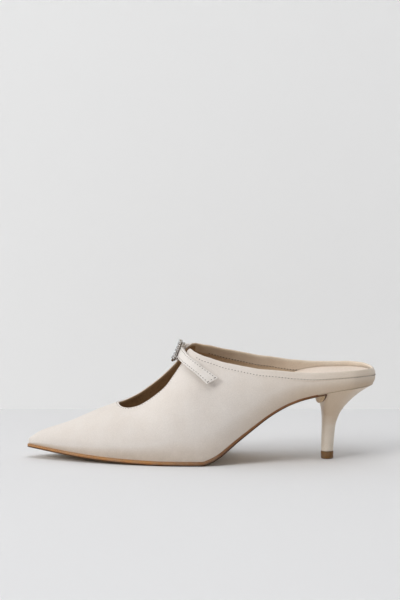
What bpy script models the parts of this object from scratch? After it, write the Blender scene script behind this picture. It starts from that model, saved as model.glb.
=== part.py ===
"""A pointed slipper with a low waisted heel, a teardrop throat and a buckled strap (left shoe).

Units are metres. The toe points to -X, the heel to +X, the outer (lateral) side to -Y and +Z is
up. The shoe stands on z = 0 and its length is centred on the origin.
"""
from collections import namedtuple
from math import acos, cos, hypot, pi, radians, sin, sqrt

import bmesh
import bpy
from mathutils import Quaternion, Vector

# %% Driving sizes
LENGTH = 0.268            # toe tip to the back of the heel
HALF_BALL = 0.0375        # half width of the last's sole at the ball of the foot
UPPER_BULGE = 0.0029      # how far the upper stands out past its lower edge at the ball
INSTEP_DEPTH = 0.089      # height of the last's ridge over the sole at the instep
HEEL_HEIGHT = 0.0572      # underside of the sole at the back of the seat
TOE_SPRING = 0.0084       # underside of the sole at the toe tip
SOLE_THICKNESS = 0.003    # outsole at the ball
SOLE_EDGE = 0.0009        # how far the outsole stands out past the upper's lower edge
FOOTBED_THICKNESS = 0.0144    # insole where it is thickest
WALL = 0.0019             # upper with its lining
BAND_WIDTH = 0.0062       # collar facing
BAND_STEP = 0.0006        # how far the collar facing stands proud
BACK_CURVE = 0.0022       # how far the back line draws in at the seat and at the topline
STRAP_WIDTH = 0.0096
STRAP_THICKNESS = 0.0014
TAB_WIDTH = 0.0074
TAB_THICKNESS = 0.0008
TOP_PIECE_HEIGHT = 0.0056
SHAFT_LENGTH = 0.0095     # heel at the top piece, front to back
SHAFT_WIDTH = 0.0100      # heel at the top piece, side to side
SHAFT_SET_BACK = 0.0038   # front of the shaft behind the front of the seat
SEAT_FRONT = 0.0454       # front of the heel's seat, from the back of the shoe
BUCKLE_HEIGHT = 0.0156    # along the strap's width
BUCKLE_REACH = 0.0160     # along the strap's length
BUCKLE_RIM = 0.0022
BUCKLE_THICKNESS = 0.0015
BUCKLE_LIFT = 0.0032      # underside of the frame over the last's surface
BAR_DIAMETER = 0.0010
STONE_DIAMETER = 0.0023
STONE_HEIGHT = 0.0012
CLEARANCE = 0.0003        # gap that pieces which touch keep to each other
THROAT_TIP = 0.2605       # front end of the throat, as a share of the length from the toe

# %% Sections of the last, from the toe (x = 0) to the back of the heel (x = 1)
# lateral, medial and ridge_side are shares of HALF_BALL, bulge of UPPER_BULGE, and
# bulge_height and ridge of INSTEP_DEPTH, measured up from the top of the sole.
Section = namedtuple("Section", "x lateral medial bulge bulge_height ridge_side ridge")
LAST = [
    Section(0.000, -0.107, 0.107, 0.00, 0.013, 0.107, 0.038),
    Section(0.011, -0.013, 0.195, 0.21, 0.020, 0.107, 0.070),
    Section(0.034, 0.080, 0.283, 0.31, 0.032, 0.104, 0.121),
    Section(0.071, 0.221, 0.408, 0.38, 0.043, 0.099, 0.174),
    Section(0.116, 0.379, 0.541, 0.45, 0.056, 0.093, 0.232),
    Section(0.164, 0.531, 0.669, 0.55, 0.073, 0.088, 0.307),
    Section(0.216, 0.667, 0.781, 0.66, 0.090, 0.085, 0.385),
    Section(0.265, 0.771, 0.864, 0.76, 0.107, 0.110, 0.446),
    Section(0.313, 0.856, 0.931, 0.83, 0.124, 0.280, 0.513),
    Section(0.351, 0.909, 0.971, 0.90, 0.146, 0.340, 0.590),
    Section(0.388, 0.955, 0.995, 0.97, 0.169, 0.270, 0.690),
    Section(0.425, 0.984, 1.000, 1.00, 0.191, 0.133, 0.812),
    Section(0.463, 1.000, 0.981, 1.00, 0.208, 0.128, 0.949),
    Section(0.500, 1.000, 0.933, 0.90, 0.219, 0.107, 1.000),
    Section(0.545, 0.971, 0.848, 0.83, 0.225, 0.080, 0.921),
    Section(0.619, 0.864, 0.688, 0.83, 0.213, 0.040, 0.749),
    Section(0.694, 0.771, 0.587, 0.90, 0.180, 0.000, 0.584),
    Section(0.769, 0.720, 0.576, 0.97, 0.140, 0.000, 0.478),
    Section(0.843, 0.731, 0.661, 0.76, 0.112, 0.000, 0.425),
    Section(0.918, 0.709, 0.683, 0.52, 0.090, 0.000, 0.396),
    Section(0.970, 0.520, 0.515, 0.34, 0.079, 0.000, 0.380),
    Section(1.000, 0.000, 0.000, 0.00, 0.073, 0.000, 0.375),
]

# Underside of the sole: spring is a share of TOE_SPRING, rise of HEEL_HEIGHT and thickness of
# SOLE_THICKNESS. The ball lies flat on the floor where both are nought.
Profile = namedtuple("Profile", "x spring rise thickness")
SOLE = [
    Profile(0.000, 1.000, 0.000, 0.70),
    Profile(0.037, 0.868, 0.000, 0.74),
    Profile(0.082, 0.684, 0.000, 0.79),
    Profile(0.172, 0.368, 0.000, 0.88),
    Profile(0.265, 0.145, 0.000, 0.95),
    Profile(0.313, 0.066, 0.000, 1.00),
    Profile(0.358, 0.013, 0.000, 1.00),
    Profile(0.388, 0.000, 0.000, 1.00),
    Profile(0.444, 0.000, 0.000, 1.00),
    Profile(0.500, 0.000, 0.000, 1.00),
    Profile(0.526, 0.000, 0.038, 0.97),
    Profile(0.552, 0.000, 0.108, 0.90),
    Profile(0.603, 0.000, 0.306, 0.73),
    Profile(0.657, 0.000, 0.507, 0.57),
    Profile(0.701, 0.000, 0.659, 0.50),
    Profile(0.750, 0.000, 0.785, 0.47),
    Profile(0.795, 0.000, 0.861, 0.47),
    Profile(0.843, 0.000, 0.912, 0.47),
    Profile(0.888, 0.000, 0.949, 0.47),
    Profile(0.925, 0.000, 0.974, 0.47),
    Profile(1.000, 0.000, 1.000, 0.47),
]

# The opening's edge, from the throat tip (x = 0, where it starts on the ridge) to the back of the
# heel (x = 1). An "open" row is the half width of the throat, as a share of HALF_BALL. A "high"
# row is the height over the sole, as a share of INSTEP_DEPTH.
Edge = namedtuple("Edge", "x kind lateral medial")
OPENING = [
    Edge(0.021, "open", 0.300, 0.360),
    Edge(0.052, "open", 0.395, 0.440),
    Edge(0.082, "open", 0.420, 0.475),
    Edge(0.112, "open", 0.425, 0.480),
    Edge(0.143, "open", 0.440, 0.480),
    Edge(0.183, "open", 0.468, 0.455),
    Edge(0.222, "open", 0.422, 0.387),
    Edge(0.254, "open", 0.345, 0.285),
    Edge(0.283, "high", 0.925, 0.950),
    Edge(0.324, "high", 0.889, 0.931),
    Edge(0.374, "high", 0.818, 0.868),
    Edge(0.425, "high", 0.708, 0.766),
    Edge(0.485, "high", 0.591, 0.645),
    Edge(0.581, "high", 0.415, 0.450),
    Edge(0.677, "high", 0.275, 0.302),
    Edge(0.767, "high", 0.203, 0.225),
    Edge(0.863, "high", 0.171, 0.184),
    Edge(0.959, "high", 0.156, 0.163),
    Edge(1.000, "high", 0.143, 0.143),
]

# Thickness of the insole, as a share of FOOTBED_THICKNESS.
Footbed = namedtuple("Footbed", "x thickness")
FOOTBED = [
    Footbed(0.000, 0.153),
    Footbed(0.276, 0.167),
    Footbed(0.500, 0.181),
    Footbed(0.552, 0.250),
    Footbed(0.604, 0.431),
    Footbed(0.657, 0.667),
    Footbed(0.716, 0.896),
    Footbed(0.780, 1.000),
    Footbed(0.840, 0.903),
    Footbed(0.910, 0.722),
    Footbed(1.000, 0.611),
]

# Heel from the top piece (up = 0) to the seat (up = 1). front and back are how far the shape
# reaches ahead of and behind the shaft's front and back edge, as shares of the seat's own reach,
# width goes from the shaft's (0) to the seat's (1), and tilt is how far a ring has taken on the
# slope of the seat.
Ring = namedtuple("Ring", "up front back width tilt")
HEEL = [
    Ring(0.00, 0.00, 0.000, 0.00, 0.00),
    Ring(0.20, -0.06, 0.022, 0.01, 0.00),
    Ring(0.38, -0.12, 0.055, 0.04, 0.02),
    Ring(0.53, -0.08, 0.140, 0.12, 0.10),
    Ring(0.66, 0.08, 0.280, 0.27, 0.30),
    Ring(0.77, 0.34, 0.455, 0.48, 0.55),
    Ring(0.87, 0.64, 0.655, 0.70, 0.80),
    Ring(0.94, 0.86, 0.830, 0.87, 0.94),
    Ring(1.00, 1.00, 1.000, 1.00, 1.00),
]

# %% Smooth curves through the tables


def smooth(xs, ys):
    """A curve through the points that stays flat where they are and doesn't overshoot."""
    slope = [(ys[k + 1] - ys[k]) / (xs[k + 1] - xs[k]) for k in range(len(xs) - 1)]
    first = 2 * slope[0] - slope[1]
    last = 2 * slope[-1] - slope[-2]
    wide = [2 * first - slope[0], first] + slope + [last, 2 * last - slope[-1]]
    lean = []
    for k in range(len(xs)):
        a, b, c, d = wide[k:k + 4]
        after = abs(d - c) + abs(d + c) / 2
        before = abs(b - a) + abs(b + a) / 2
        total = after + before
        lean.append((after * b + before * c) / total if total > 0 else 0.0)

    def curve(x):
        x = min(max(x, xs[0]), xs[-1])
        k = max(n for n in range(len(xs) - 1) if xs[n] <= x)
        span = xs[k + 1] - xs[k]
        t = (x - xs[k]) / span
        start = (1 + 2 * t) * (1 - t) ** 2 * ys[k] + t * (1 - t) ** 2 * span * lean[k]
        end = t * t * (3 - 2 * t) * ys[k + 1] + t * t * (t - 1) * span * lean[k + 1]
        return start + end

    return curve


def column(rows, name, spread=lambda x: x):
    curve = smooth([spread(row.x) for row in rows], [getattr(row, name) for row in rows])
    return lambda share: curve(spread(share))


def round_ends(share):
    """Stretches both ends, so that an outline closes there in a round."""
    return acos(1 - 2 * min(max(share, 0.0), 1.0)) / pi


last_of = {name: column(LAST, name, round_ends) for name in Section._fields[1:]}
sole_of = {name: column(SOLE, name) for name in Profile._fields[1:]}
footbed_share = column(FOOTBED, "thickness")


def share_of(x):
    return x / LENGTH + 0.5


def x_of(share):
    return (share - 0.5) * LENGTH


# %% Sole line


def sole_bottom(x):
    share = share_of(x)
    return TOE_SPRING * sole_of["spring"](share) + HEEL_HEIGHT * sole_of["rise"](share)


def sole_slope(x):
    step = 0.004 * LENGTH
    return (sole_bottom(x + step) - sole_bottom(x - step)) / (2 * step)


def sole_thickness(x):
    return SOLE_THICKNESS * sole_of["thickness"](share_of(x))


def sole_top(x):
    """The surface that the upper and insole stand on: the outsole, then the heel's seat."""
    return sole_bottom(x) + sole_thickness(x) * hypot(1, sole_slope(x))


# %% Surface of the upper

LOWER_PART = 0.25         # share of a half section that lies under its widest point
BACK_START = 0.33         # where the back line starts to draw in, as a share from the middle
BACK_REACH = 0.5 - BACK_START


def reach(x, side, name="lower"):
    """Distance of the section's lower edge (or widest point) from the middle line."""
    share = share_of(x)
    out = last_of["lateral" if side < 0 else "medial"](share) * HALF_BALL
    if name == "wide":
        out += last_of["bulge"](share) * UPPER_BULGE
    return out


def back_shift(x, z):
    """Draws the back line in over and under its middle height."""
    low = sole_top(LENGTH / 2)
    high = low + INSTEP_DEPTH * OPENING[-1].lateral
    mid = (low + high) / 2
    share = max(0.0, (x / LENGTH - BACK_START) / BACK_REACH)
    return -BACK_CURVE * share ** 2 * ((z - mid) / (high - mid)) ** 2


def skin_point(x, side, t):
    """A point of the upper's outside: t runs from the lower edge (0) to the ridge (1)."""
    share = share_of(x)
    low = sole_top(x) + CLEARANCE
    wide_z = low + INSTEP_DEPTH * last_of["bulge_height"](share)
    ridge_z = low + INSTEP_DEPTH * last_of["ridge"](share)
    ridge_y = HALF_BALL * last_of["ridge_side"](share)
    wide_y = side * reach(x, side, "wide")
    if t < LOWER_PART:
        turn = t / LOWER_PART
        low_y = side * reach(x, side)
        y = low_y + (wide_y - low_y) * sin(turn * pi / 2)
        z = low + (wide_z - low) * turn
    else:
        turn = (t - LOWER_PART) / (1 - LOWER_PART) * pi / 2
        y = ridge_y + (wide_y - ridge_y) * cos(turn)
        z = wide_z + (ridge_z - wide_z) * sin(turn)
    return Vector((x + back_shift(x, z), y, z))


def side_point(x, across):
    """A point of the outside by one number: -1 lateral edge, 0 ridge, 1 medial edge."""
    side = -1 if across < 0 else 1
    return skin_point(x, side, 1 - abs(across))


def side_normal(x, across):
    step = 0.001
    along = side_point(x + step, across) - side_point(x - step, across)
    over = side_point(x, across + step) - side_point(x, across - step)
    return along.cross(over).normalized()


def turn_at(x, side, axis, value):
    """Finds t where the upper part of a half section meets a half width or a height."""
    low, high = LOWER_PART, 1.0
    for _ in range(40):
        t = (low + high) / 2
        point = skin_point(x, side, t)
        passed = side * point.y < value if axis == "open" else point.z > value
        low, high = (low, t) if passed else (t, high)
    return (low + high) / 2


def opening_curve(side):
    """How far up its section the opening's edge lies, along the shoe."""
    xs, turns = [0.0], [1.0]
    for row in OPENING:
        x = x_of(THROAT_TIP + row.x * (1 - THROAT_TIP))
        value = row.lateral if side < 0 else row.medial
        if row.kind == "open":
            turns.append(turn_at(x, side, "open", value * HALF_BALL))
        else:
            turns.append(turn_at(x, side, "high", sole_top(x) + value * INSTEP_DEPTH))
        xs.append(sqrt(row.x))
    curve = smooth(xs, turns)
    return lambda x: curve(sqrt(max(0.0, (share_of(x) - THROAT_TIP) / (1 - THROAT_TIP))))


opening = {side: opening_curve(side) for side in (-1, 1)}

# %% Meshes


def new_object(name, bm, colour, roughness, metallic=0.0, smooth_angle=35):
    """Makes one closed, outward-facing, smooth-shaded object with its own material."""
    bmesh.ops.recalc_face_normals(bm, faces=bm.faces)
    mesh = bpy.data.meshes.new(name)
    bm.to_mesh(mesh)
    bm.free()
    mesh.shade_smooth()
    mesh.set_sharp_from_angle(angle=radians(smooth_angle))
    material = bpy.data.materials.new(name)
    material.use_nodes = True
    shader = material.node_tree.nodes["Principled BSDF"]
    shader.inputs["Base Color"].default_value = (*colour, 1)
    shader.inputs["Roughness"].default_value = roughness
    shader.inputs["Metallic"].default_value = metallic
    mesh.materials.append(material)
    obj = bpy.data.objects.new(name, mesh)
    bpy.context.scene.collection.objects.link(obj)
    print(name, len(mesh.polygons), "faces")
    return obj


def plate(top, bottom):
    """Closes two sheets of points, row by row, into one solid."""
    bm = bmesh.new()
    rows, columns = len(top), len(top[0])
    upper = [[bm.verts.new(p) for p in row] for row in top]
    lower = [[bm.verts.new(p) for p in row] for row in bottom]
    for r in range(rows - 1):
        for c in range(columns - 1):
            for sheet in (upper, lower):
                bm.faces.new((sheet[r][c], sheet[r + 1][c], sheet[r + 1][c + 1], sheet[r][c + 1]))
        for c in (0, columns - 1):
            bm.faces.new((upper[r][c], upper[r + 1][c], lower[r + 1][c], lower[r][c]))
    for c in range(columns - 1):
        for r in (0, rows - 1):
            bm.faces.new((upper[r][c], upper[r][c + 1], lower[r][c + 1], lower[r][c]))
    return bm


def spaced(start, end, count, ease="even"):
    """Positions from start up to, but not including, end; eased ones lie close at one end."""
    steps = [k / count for k in range(count)]
    if ease == "start":
        steps = [1 - cos(s * pi / 2) for s in steps]
    if ease == "end":
        steps = [sin(s * pi / 2) for s in steps]
    return [start + (end - start) * s for s in steps]


# %% Upper: one shell, two sheets that join at the toe, at the back and along the ridge

SOLID_TOE = 0.030         # share of the length where the toe is stiffened through
LOWER_ROWS = 8            # rows between the lower edge and the collar facing
TOP_SHARE = 0.3           # the facing's rows take at most this share of a short section
STEP_WIDTH = 0.0003       # how wide the facing's step is up the section
ROW_LIFT = 0.0002         # least rise of the lining from row to row near the sole


def upper_stations():
    shares = spaced(0.0, 0.070, 8, "start") + spaced(0.070, THROAT_TIP, 9)
    shares += spaced(THROAT_TIP, 0.320, 6, "start") + spaced(0.320, 0.440, 6)
    shares += spaced(0.440, 0.500, 4) + spaced(0.500, 0.860, 14) + spaced(0.860, 1.0, 10, "end")
    return [x_of(s) for s in shares + [1.0]]


def section_rows(x, side):
    """Points up one half section, evenly spaced, with the last three in the collar facing."""
    top = opening[side](x) if share_of(x) > THROAT_TIP else 1.0
    count = 48
    fine = [skin_point(x, side, top * k / count) for k in range(count + 1)]
    length = [0.0]
    for a, b in zip(fine, fine[1:]):
        length.append(length[-1] + hypot(b.y - a.y, b.z - a.z))
    band = min(BAND_WIDTH, TOP_SHARE * length[-1])
    step = min(STEP_WIDTH, 0.05 * band)
    below = length[-1] - band - step
    marks = [below * k / LOWER_ROWS for k in range(LOWER_ROWS + 1)]
    marks += [below + step, length[-1] - band / 2, length[-1]]
    points = []
    for mark in marks:
        k = max(n for n in range(count) if length[n] <= mark + 1e-9)
        span = length[k + 1] - length[k]
        points.append(fine[k].lerp(fine[k + 1], (mark - length[k]) / span))
    return points


def facing_share(x):
    """The collar facing rises out of the wall just behind the throat's corners."""
    return min(max((share_of(x) - 0.475) / 0.03, 0.0), 1.0)


def make_upper():
    stations = upper_stations()
    back = len(stations) - 1
    tip = max(k for k, x in enumerate(stations) if share_of(x) <= THROAT_TIP + 1e-6)
    hollow = min(k for k, x in enumerate(stations) if share_of(x) >= SOLID_TOE)
    rows = {side: [section_rows(x, side) for x in stations] for side in (-1, 1)}
    top = len(rows[1][0]) - 1
    bm = bmesh.new()
    outer, normal = {}, {}
    for i in range(back + 1):
        for j in range(top + 1):
            shared = i in (0, back) or (j == top and i <= tip)
            outer[-1, i, j] = bm.verts.new(rows[-1][i][j])
            outer[1, i, j] = outer[-1, i, j] if shared else bm.verts.new(rows[1][i][j])
    for side in (-1, 1):
        for i in range(back):
            for j in range(top):
                ring = [outer[side, i, j], outer[side, i + 1, j],
                        outer[side, i + 1, j + 1], outer[side, i, j + 1]]
                bm.faces.new(ring if side < 0 else ring[::-1])
    bm.normal_update()
    normal = {key: vert.normal.copy() for key, vert in outer.items()}

    inner = {}
    for i in range(hollow, back + 1):
        for j in range(top + 1):
            for side in (-1, 1):
                if side > 0 and outer[1, i, j] is outer[-1, i, j]:
                    inner[1, i, j] = inner[-1, i, j]
                    continue
                point = outer[side, i, j].co - WALL * normal[side, i, j]
                low = sole_top(stations[i]) + CLEARANCE
                point.z = low if j == 0 else max(point.z, low + j * ROW_LIFT)
                inner[side, i, j] = bm.verts.new(point)
    for i in range(back + 1):
        step = BAND_STEP * facing_share(stations[i])
        for j in range(top - 2, top + 1):
            for side in (-1, 1):
                if side < 0 or outer[1, i, j] is not outer[-1, i, j]:
                    outer[side, i, j].co += step * normal[side, i, j]

    for side in (-1, 1):
        for i in range(hollow, back):
            for j in range(top):
                ring = [inner[side, i, j], inner[side, i, j + 1],
                        inner[side, i + 1, j + 1], inner[side, i + 1, j]]
                bm.faces.new(ring if side < 0 else ring[::-1])
            bm.faces.new((outer[side, i, 0], inner[side, i, 0],
                          inner[side, i + 1, 0], outer[side, i + 1, 0]))
        for i in range(tip, back):
            bm.faces.new((outer[side, i, top], outer[side, i + 1, top],
                          inner[side, i + 1, top], inner[side, i, top]))
    for i in range(hollow):
        ring = [outer[-1, i, 0], outer[-1, i + 1, 0], outer[1, i + 1, 0]]
        bm.faces.new(ring if i == 0 else ring + [outer[1, i, 0]])
    bm.faces.new((outer[-1, hollow, 0], inner[-1, hollow, 0],
                  inner[1, hollow, 0], outer[1, hollow, 0]))
    for j in range(top):
        ring = [inner[-1, hollow, j], inner[-1, hollow, j + 1], inner[1, hollow, j + 1]]
        if j + 1 == top:
            ring = ring[:2]
        bm.faces.new(ring + [inner[1, hollow, j]])
    return new_object("upper", bm, (0.67, 0.62, 0.55), 0.9)


# %% Heel: rings from the top piece up to the seat, with a rounded front

SEAT_CORNER = 0.22        # share of the seat's length over which its front is rounded


def heel_ring(up):
    """One ring of the heel as two chains of points, front to back, lateral and medial."""
    level = {name: smooth([r.up for r in HEEL], [getattr(r, name) for r in HEEL])(up)
             for name in Ring._fields[1:]}
    seat_front = LENGTH / 2 - SEAT_FRONT
    seat_back = LENGTH / 2 - BACK_CURVE
    shaft_front = seat_front + SHAFT_SET_BACK
    shaft_back = shaft_front + SHAFT_LENGTH
    front = shaft_front + (seat_front - shaft_front) * level["front"]
    back = shaft_back + (seat_back - shaft_back) * level["back"]
    low = TOP_PIECE_HEIGHT + CLEARANCE
    flat_z = low + (sole_top(seat_back) - low) * up
    chains = {}
    for side in (-1, 1):
        chain = []
        for k in range(13):
            u = (1 - cos(pi * k / 12)) / 2
            x = front + u * (back - front)
            seat_x = seat_front + u * (seat_back - seat_front)
            outline_x = x_of(min(1.0, share_of(seat_x) + u * u * BACK_CURVE / LENGTH))
            corner = sqrt(max(0.0, 1 - max(0.0, 1 - u / SEAT_CORNER) ** 2))
            seat_y = reach(outline_x, side) * corner
            shaft_y = SHAFT_WIDTH / 2 * sin(pi * k / 12)
            y = shaft_y + (seat_y - shaft_y) * level["width"]
            drop = sole_top(seat_back) - sole_top(seat_x)
            chain.append(Vector((x, side * y, flat_z - drop * level["tilt"])))
        chains[side] = chain
    return chains


def ring_solid(rings):
    """Joins rings of paired chains, closed at both ends by strips across."""
    bm = bmesh.new()
    last = len(rings[0][1]) - 1
    verts = []
    for ring in rings:
        left = [bm.verts.new(p) for p in ring[-1]]
        right = [bm.verts.new(p) for p in ring[1][1:last]]
        verts.append((left, [left[0]] + right + [left[last]]))
    for (left_a, right_a), (left_b, right_b) in zip(verts, verts[1:]):
        for k in range(last):
            bm.faces.new((left_a[k], left_a[k + 1], left_b[k + 1], left_b[k]))
            bm.faces.new((right_a[k + 1], right_a[k], right_b[k], right_b[k + 1]))
    for left, right in (verts[0], verts[-1]):
        for k in range(last):
            ring = [left[k], left[k + 1]]
            ring += [right[k + 1]] if k + 1 < last else []
            ring += [right[k]] if k > 0 else []
            bm.faces.new(ring)
    return bm


def make_heel():
    levels = [0, 0.02, 0.12, 0.24, 0.36, 0.45, 0.53, 0.6, 0.66, 0.72, 0.78, 0.84, 0.9, 0.95, 0.98, 1]
    return new_object("heel", ring_solid([heel_ring(up) for up in levels]), (0.51, 0.41, 0.31), 0.4)


def make_top_piece():
    """The foot of the heel, with its lowest edge rounded and a flat face on the floor."""
    ring = heel_ring(0.0)
    middle = (ring[1][0] + ring[1][-1]) / 2
    rings = []
    for z, size in ((0.0, 0.94), (0.0006, 1.0), (TOP_PIECE_HEIGHT, 1.02)):
        rings.append({side: [Vector((middle.x + (p.x - middle.x) * size, p.y * size, z))
                             for p in ring[side]] for side in (-1, 1)})
    return new_object("top_piece", ring_solid(rings), (0.19, 0.08, 0.02), 0.55)


# %% Outsole: a thin plate whose rear end turns down over the front of the heel

COLUMNS = [-1.0, -0.94, -0.7, -0.4, 0.0, 0.4, 0.7, 0.94, 1.0]
REAR_GAP = 0.0022         # how far ahead of the seat the sole's last flat row lies
FLAP_GAP = 2.2 * CLEARANCE    # flap to heel, measured aslant
FLAP_LEAN = radians(20)   # how far down the flap's rows are pushed out

# Rows of the flap from the seat down: up is a height on the heel (1 is the seat), and width a
# share of the heel's half width there.
Turn = namedtuple("Turn", "up width")
FLAP = [
    Turn(0.975, 0.97),
    Turn(0.950, 0.96),
    Turn(0.920, 0.94),
    Turn(0.890, 0.88),
    Turn(0.865, 0.74),
    Turn(0.850, 0.50),
]


def heel_front(up, y):
    """How far back the heel's front lies at this height and distance from the middle."""
    chains = heel_ring(up)
    chain = chains[-1 if y < 0 else 1]
    for a, b in zip(chain, chain[1:]):
        if abs(b.y) >= abs(y) and abs(b.y) > abs(a.y):
            return a.lerp(b, (abs(y) - abs(a.y)) / (abs(b.y) - abs(a.y)))
    return chain[len(chain) // 2].copy()


def make_outsole():
    start, seat = -LENGTH / 2 - SOLE_EDGE, LENGTH / 2 - SEAT_FRONT
    stations = spaced(start, x_of(0.07), 7, "start") + spaced(x_of(0.07), x_of(0.38), 10)
    stations += spaced(x_of(0.38), x_of(0.5), 3) + spaced(x_of(0.5), x_of(0.62), 7)
    stations += spaced(x_of(0.62), seat - REAR_GAP, 9) + [seat - REAR_GAP]
    top, bottom = [], []
    for x in stations:
        thick = sole_thickness(x)
        wrap = min(max((x - x_of(0.7)) / (seat - REAR_GAP - x_of(0.7)), 0.0), 1.0) ** 2
        above, below = [], []
        for c in COLUMNS:
            side = -1 if c < 0 else 1
            inner_x = max(x + SOLE_EDGE, -LENGTH / 2)
            edge = side * reach(inner_x, side) + side * SOLE_EDGE * (1 - wrap)
            middle = HALF_BALL * last_of["ridge_side"](0.0) if x < x_of(0.1) else 0.0
            y = middle + abs(c) * (edge - middle) if x < x_of(0.1) else abs(c) * edge
            if x == start:
                y = middle + c * CLEARANCE
            behind = heel_front(1.0, y * 0.98).x - heel_front(1.0, 0.0).x
            place = x + wrap * behind
            above.append(Vector((place, y, sole_top(place))))
            drop = thick * hypot(1, sole_slope(place))
            below.append(Vector((place, y, sole_top(place) - drop)))
        top.append(above)
        bottom.append(below)
    for up, width in FLAP:
        above, below = [], []
        chains = heel_ring(up)
        for c in COLUMNS:
            side = -1 if c < 0 else 1
            half = max(abs(p.y) for p in chains[side][:7]) * width
            seat_point = heel_front(up, side * abs(c) * half)
            out = Vector((-cos(FLAP_LEAN), side * abs(c) * 0.5, -sin(FLAP_LEAN))).normalized()
            above.append(seat_point + out * FLAP_GAP)
            below.append(seat_point + out * (FLAP_GAP + sole_thickness(seat)))
        top.append(above)
        bottom.append(below)
    return new_object("outsole", plate(top, bottom), (0.50, 0.27, 0.09), 0.5)


# %% Insole: fills the upper from wall to wall

INSOLE_START = 0.0035     # the insole's front behind the solid toe
INSOLE_INSET = 0.0012     # its top's outermost column lies this far in
INSOLE_DROP = 0.0008      # and this much lower, which rounds the edge


def inside_width(x, side, z):
    """Distance from the middle line to the inside of the wall at this height."""
    best = reach(x, side)
    for k in range(25):
        point = skin_point(x, side, LOWER_PART * 1.6 * k / 24)
        if point.z <= z:
            best = abs(point.y)
    return best - WALL


def make_insole():
    front = x_of(SOLID_TOE) + INSOLE_START
    back = LENGTH / 2 - WALL - BACK_CURVE - 2 * CLEARANCE
    stations = spaced(front, x_of(0.1), 3) + spaced(x_of(0.1), x_of(0.5), 10)
    stations += spaced(x_of(0.5), x_of(0.86), 10) + spaced(x_of(0.86), back, 7, "end") + [back]
    top, bottom = [], []
    for x in stations:
        thick = FOOTBED_THICKNESS * footbed_share(share_of(x))
        low = sole_top(x) + CLEARANCE
        above, below = [], []
        for c in COLUMNS:
            side = -1 if c < 0 else 1
            wall_x = x + (WALL + BACK_CURVE) * max(0.0, (x - x_of(0.86)) / (back - x_of(0.86))) ** 3
            wide = inside_width(wall_x, side, low + thick * 0.8) - 2 * CLEARANCE
            foot = inside_width(wall_x, side, low) - 2 * CLEARANCE
            inset = INSOLE_INSET if abs(c) == 1 else 0.0
            round_off = INSOLE_DROP if abs(c) == 1 else 0.0
            above.append(Vector((x, side * abs(c) * max(wide - inset, 0.0004),
                                 low + thick - round_off)))
            below.append(Vector((x, side * abs(c) * max(foot, 0.0004), low)))
        top.append(above)
        bottom.append(below)
    return new_object("insole", plate(top, bottom), (0.66, 0.46, 0.31), 0.6)


# %% Strap, its tab and the buckle, all laid out over the instep

# Where the buckle's middle lies: along is a share of the length from the toe, across runs over
# the instep from the lateral edge (-1) to the medial edge (1), and twist, in degrees, stands the
# buckle up more steeply than the last under it.
BuckleSpot = namedtuple("BuckleSpot", "along across twist")
BUCKLE_AT = BuckleSpot(0.446, -0.045, 16)


def on_last(along, across, lift, twist=0):
    """A spot of a strap's middle plane over the last, and its outward direction."""
    x = x_of(along)
    out = side_normal(x, across)
    middle = side_point(x, across) + out * lift
    return middle, Quaternion((0, 1, 0), -radians(twist)) @ out


def buckle_axes():
    """The buckle's own frame: its middle, and its along, up-slope and outward directions."""
    middle, out = on_last(BUCKLE_AT.along, BUCKLE_AT.across, 0.0, BUCKLE_AT.twist)
    out.y = 0
    out.normalize()
    along = Vector((0, -1, 0))
    return middle, along, out.cross(along), out


def on_buckle(a, n):
    """A spot of a strap's middle plane given in the buckle's own frame."""
    return buckle_place(a, 0.0, n), buckle_axes()[3]


def strap_grid(spots, width, thickness, count, corner=0.0006):
    """Sweeps a flat strap through its spots and returns its two sheets."""
    marks = [0.0]
    for (a, _), (b, _) in zip(spots, spots[1:]):
        marks.append(marks[-1] + (b - a).length)
    place = [smooth(marks, [spot[0][axis] for spot in spots]) for axis in range(3)]
    facing = [smooth(marks, [spot[1][axis] for spot in spots]) for axis in range(3)]
    top, bottom = [], []
    for k in range(count + 1):
        mark = marks[-1] * k / count
        before, after = max(mark - 0.0005, 0), min(mark + 0.0005, marks[-1])
        middle = Vector(curve(mark) for curve in place)
        ahead = Vector(curve(after) - curve(before) for curve in place).normalized()
        wide = Vector(curve(mark) for curve in facing).cross(ahead).normalized()
        out = ahead.cross(wide).normalized()
        above, below = [], []
        for share, drop in ((-1, corner), (-0.9, 0), (-0.45, 0), (0.45, 0), (0.9, 0), (1, corner)):
            spot = middle + wide * share * width / 2
            above.append(spot + out * (thickness / 2 - drop / 2))
            below.append(spot - out * (thickness / 2 - drop / 2))
        top.append(above)
        bottom.append(below)
    return top, bottom


UNDER_FRAME = BUCKLE_LIFT - CLEARANCE - STRAP_THICKNESS / 2
TAB_LEVEL = CLEARANCE + TAB_THICKNESS / 2
BAR_LEVEL = TAB_LEVEL + TAB_THICKNESS / 2 + CLEARANCE + BAR_DIAMETER / 2
OVER_BAR = BAR_LEVEL + BAR_DIAMETER / 2 + CLEARANCE + STRAP_THICKNESS / 2 + 0.0003
RIM_MIDDLE = (BUCKLE_REACH - BUCKLE_RIM) / 2


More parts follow.
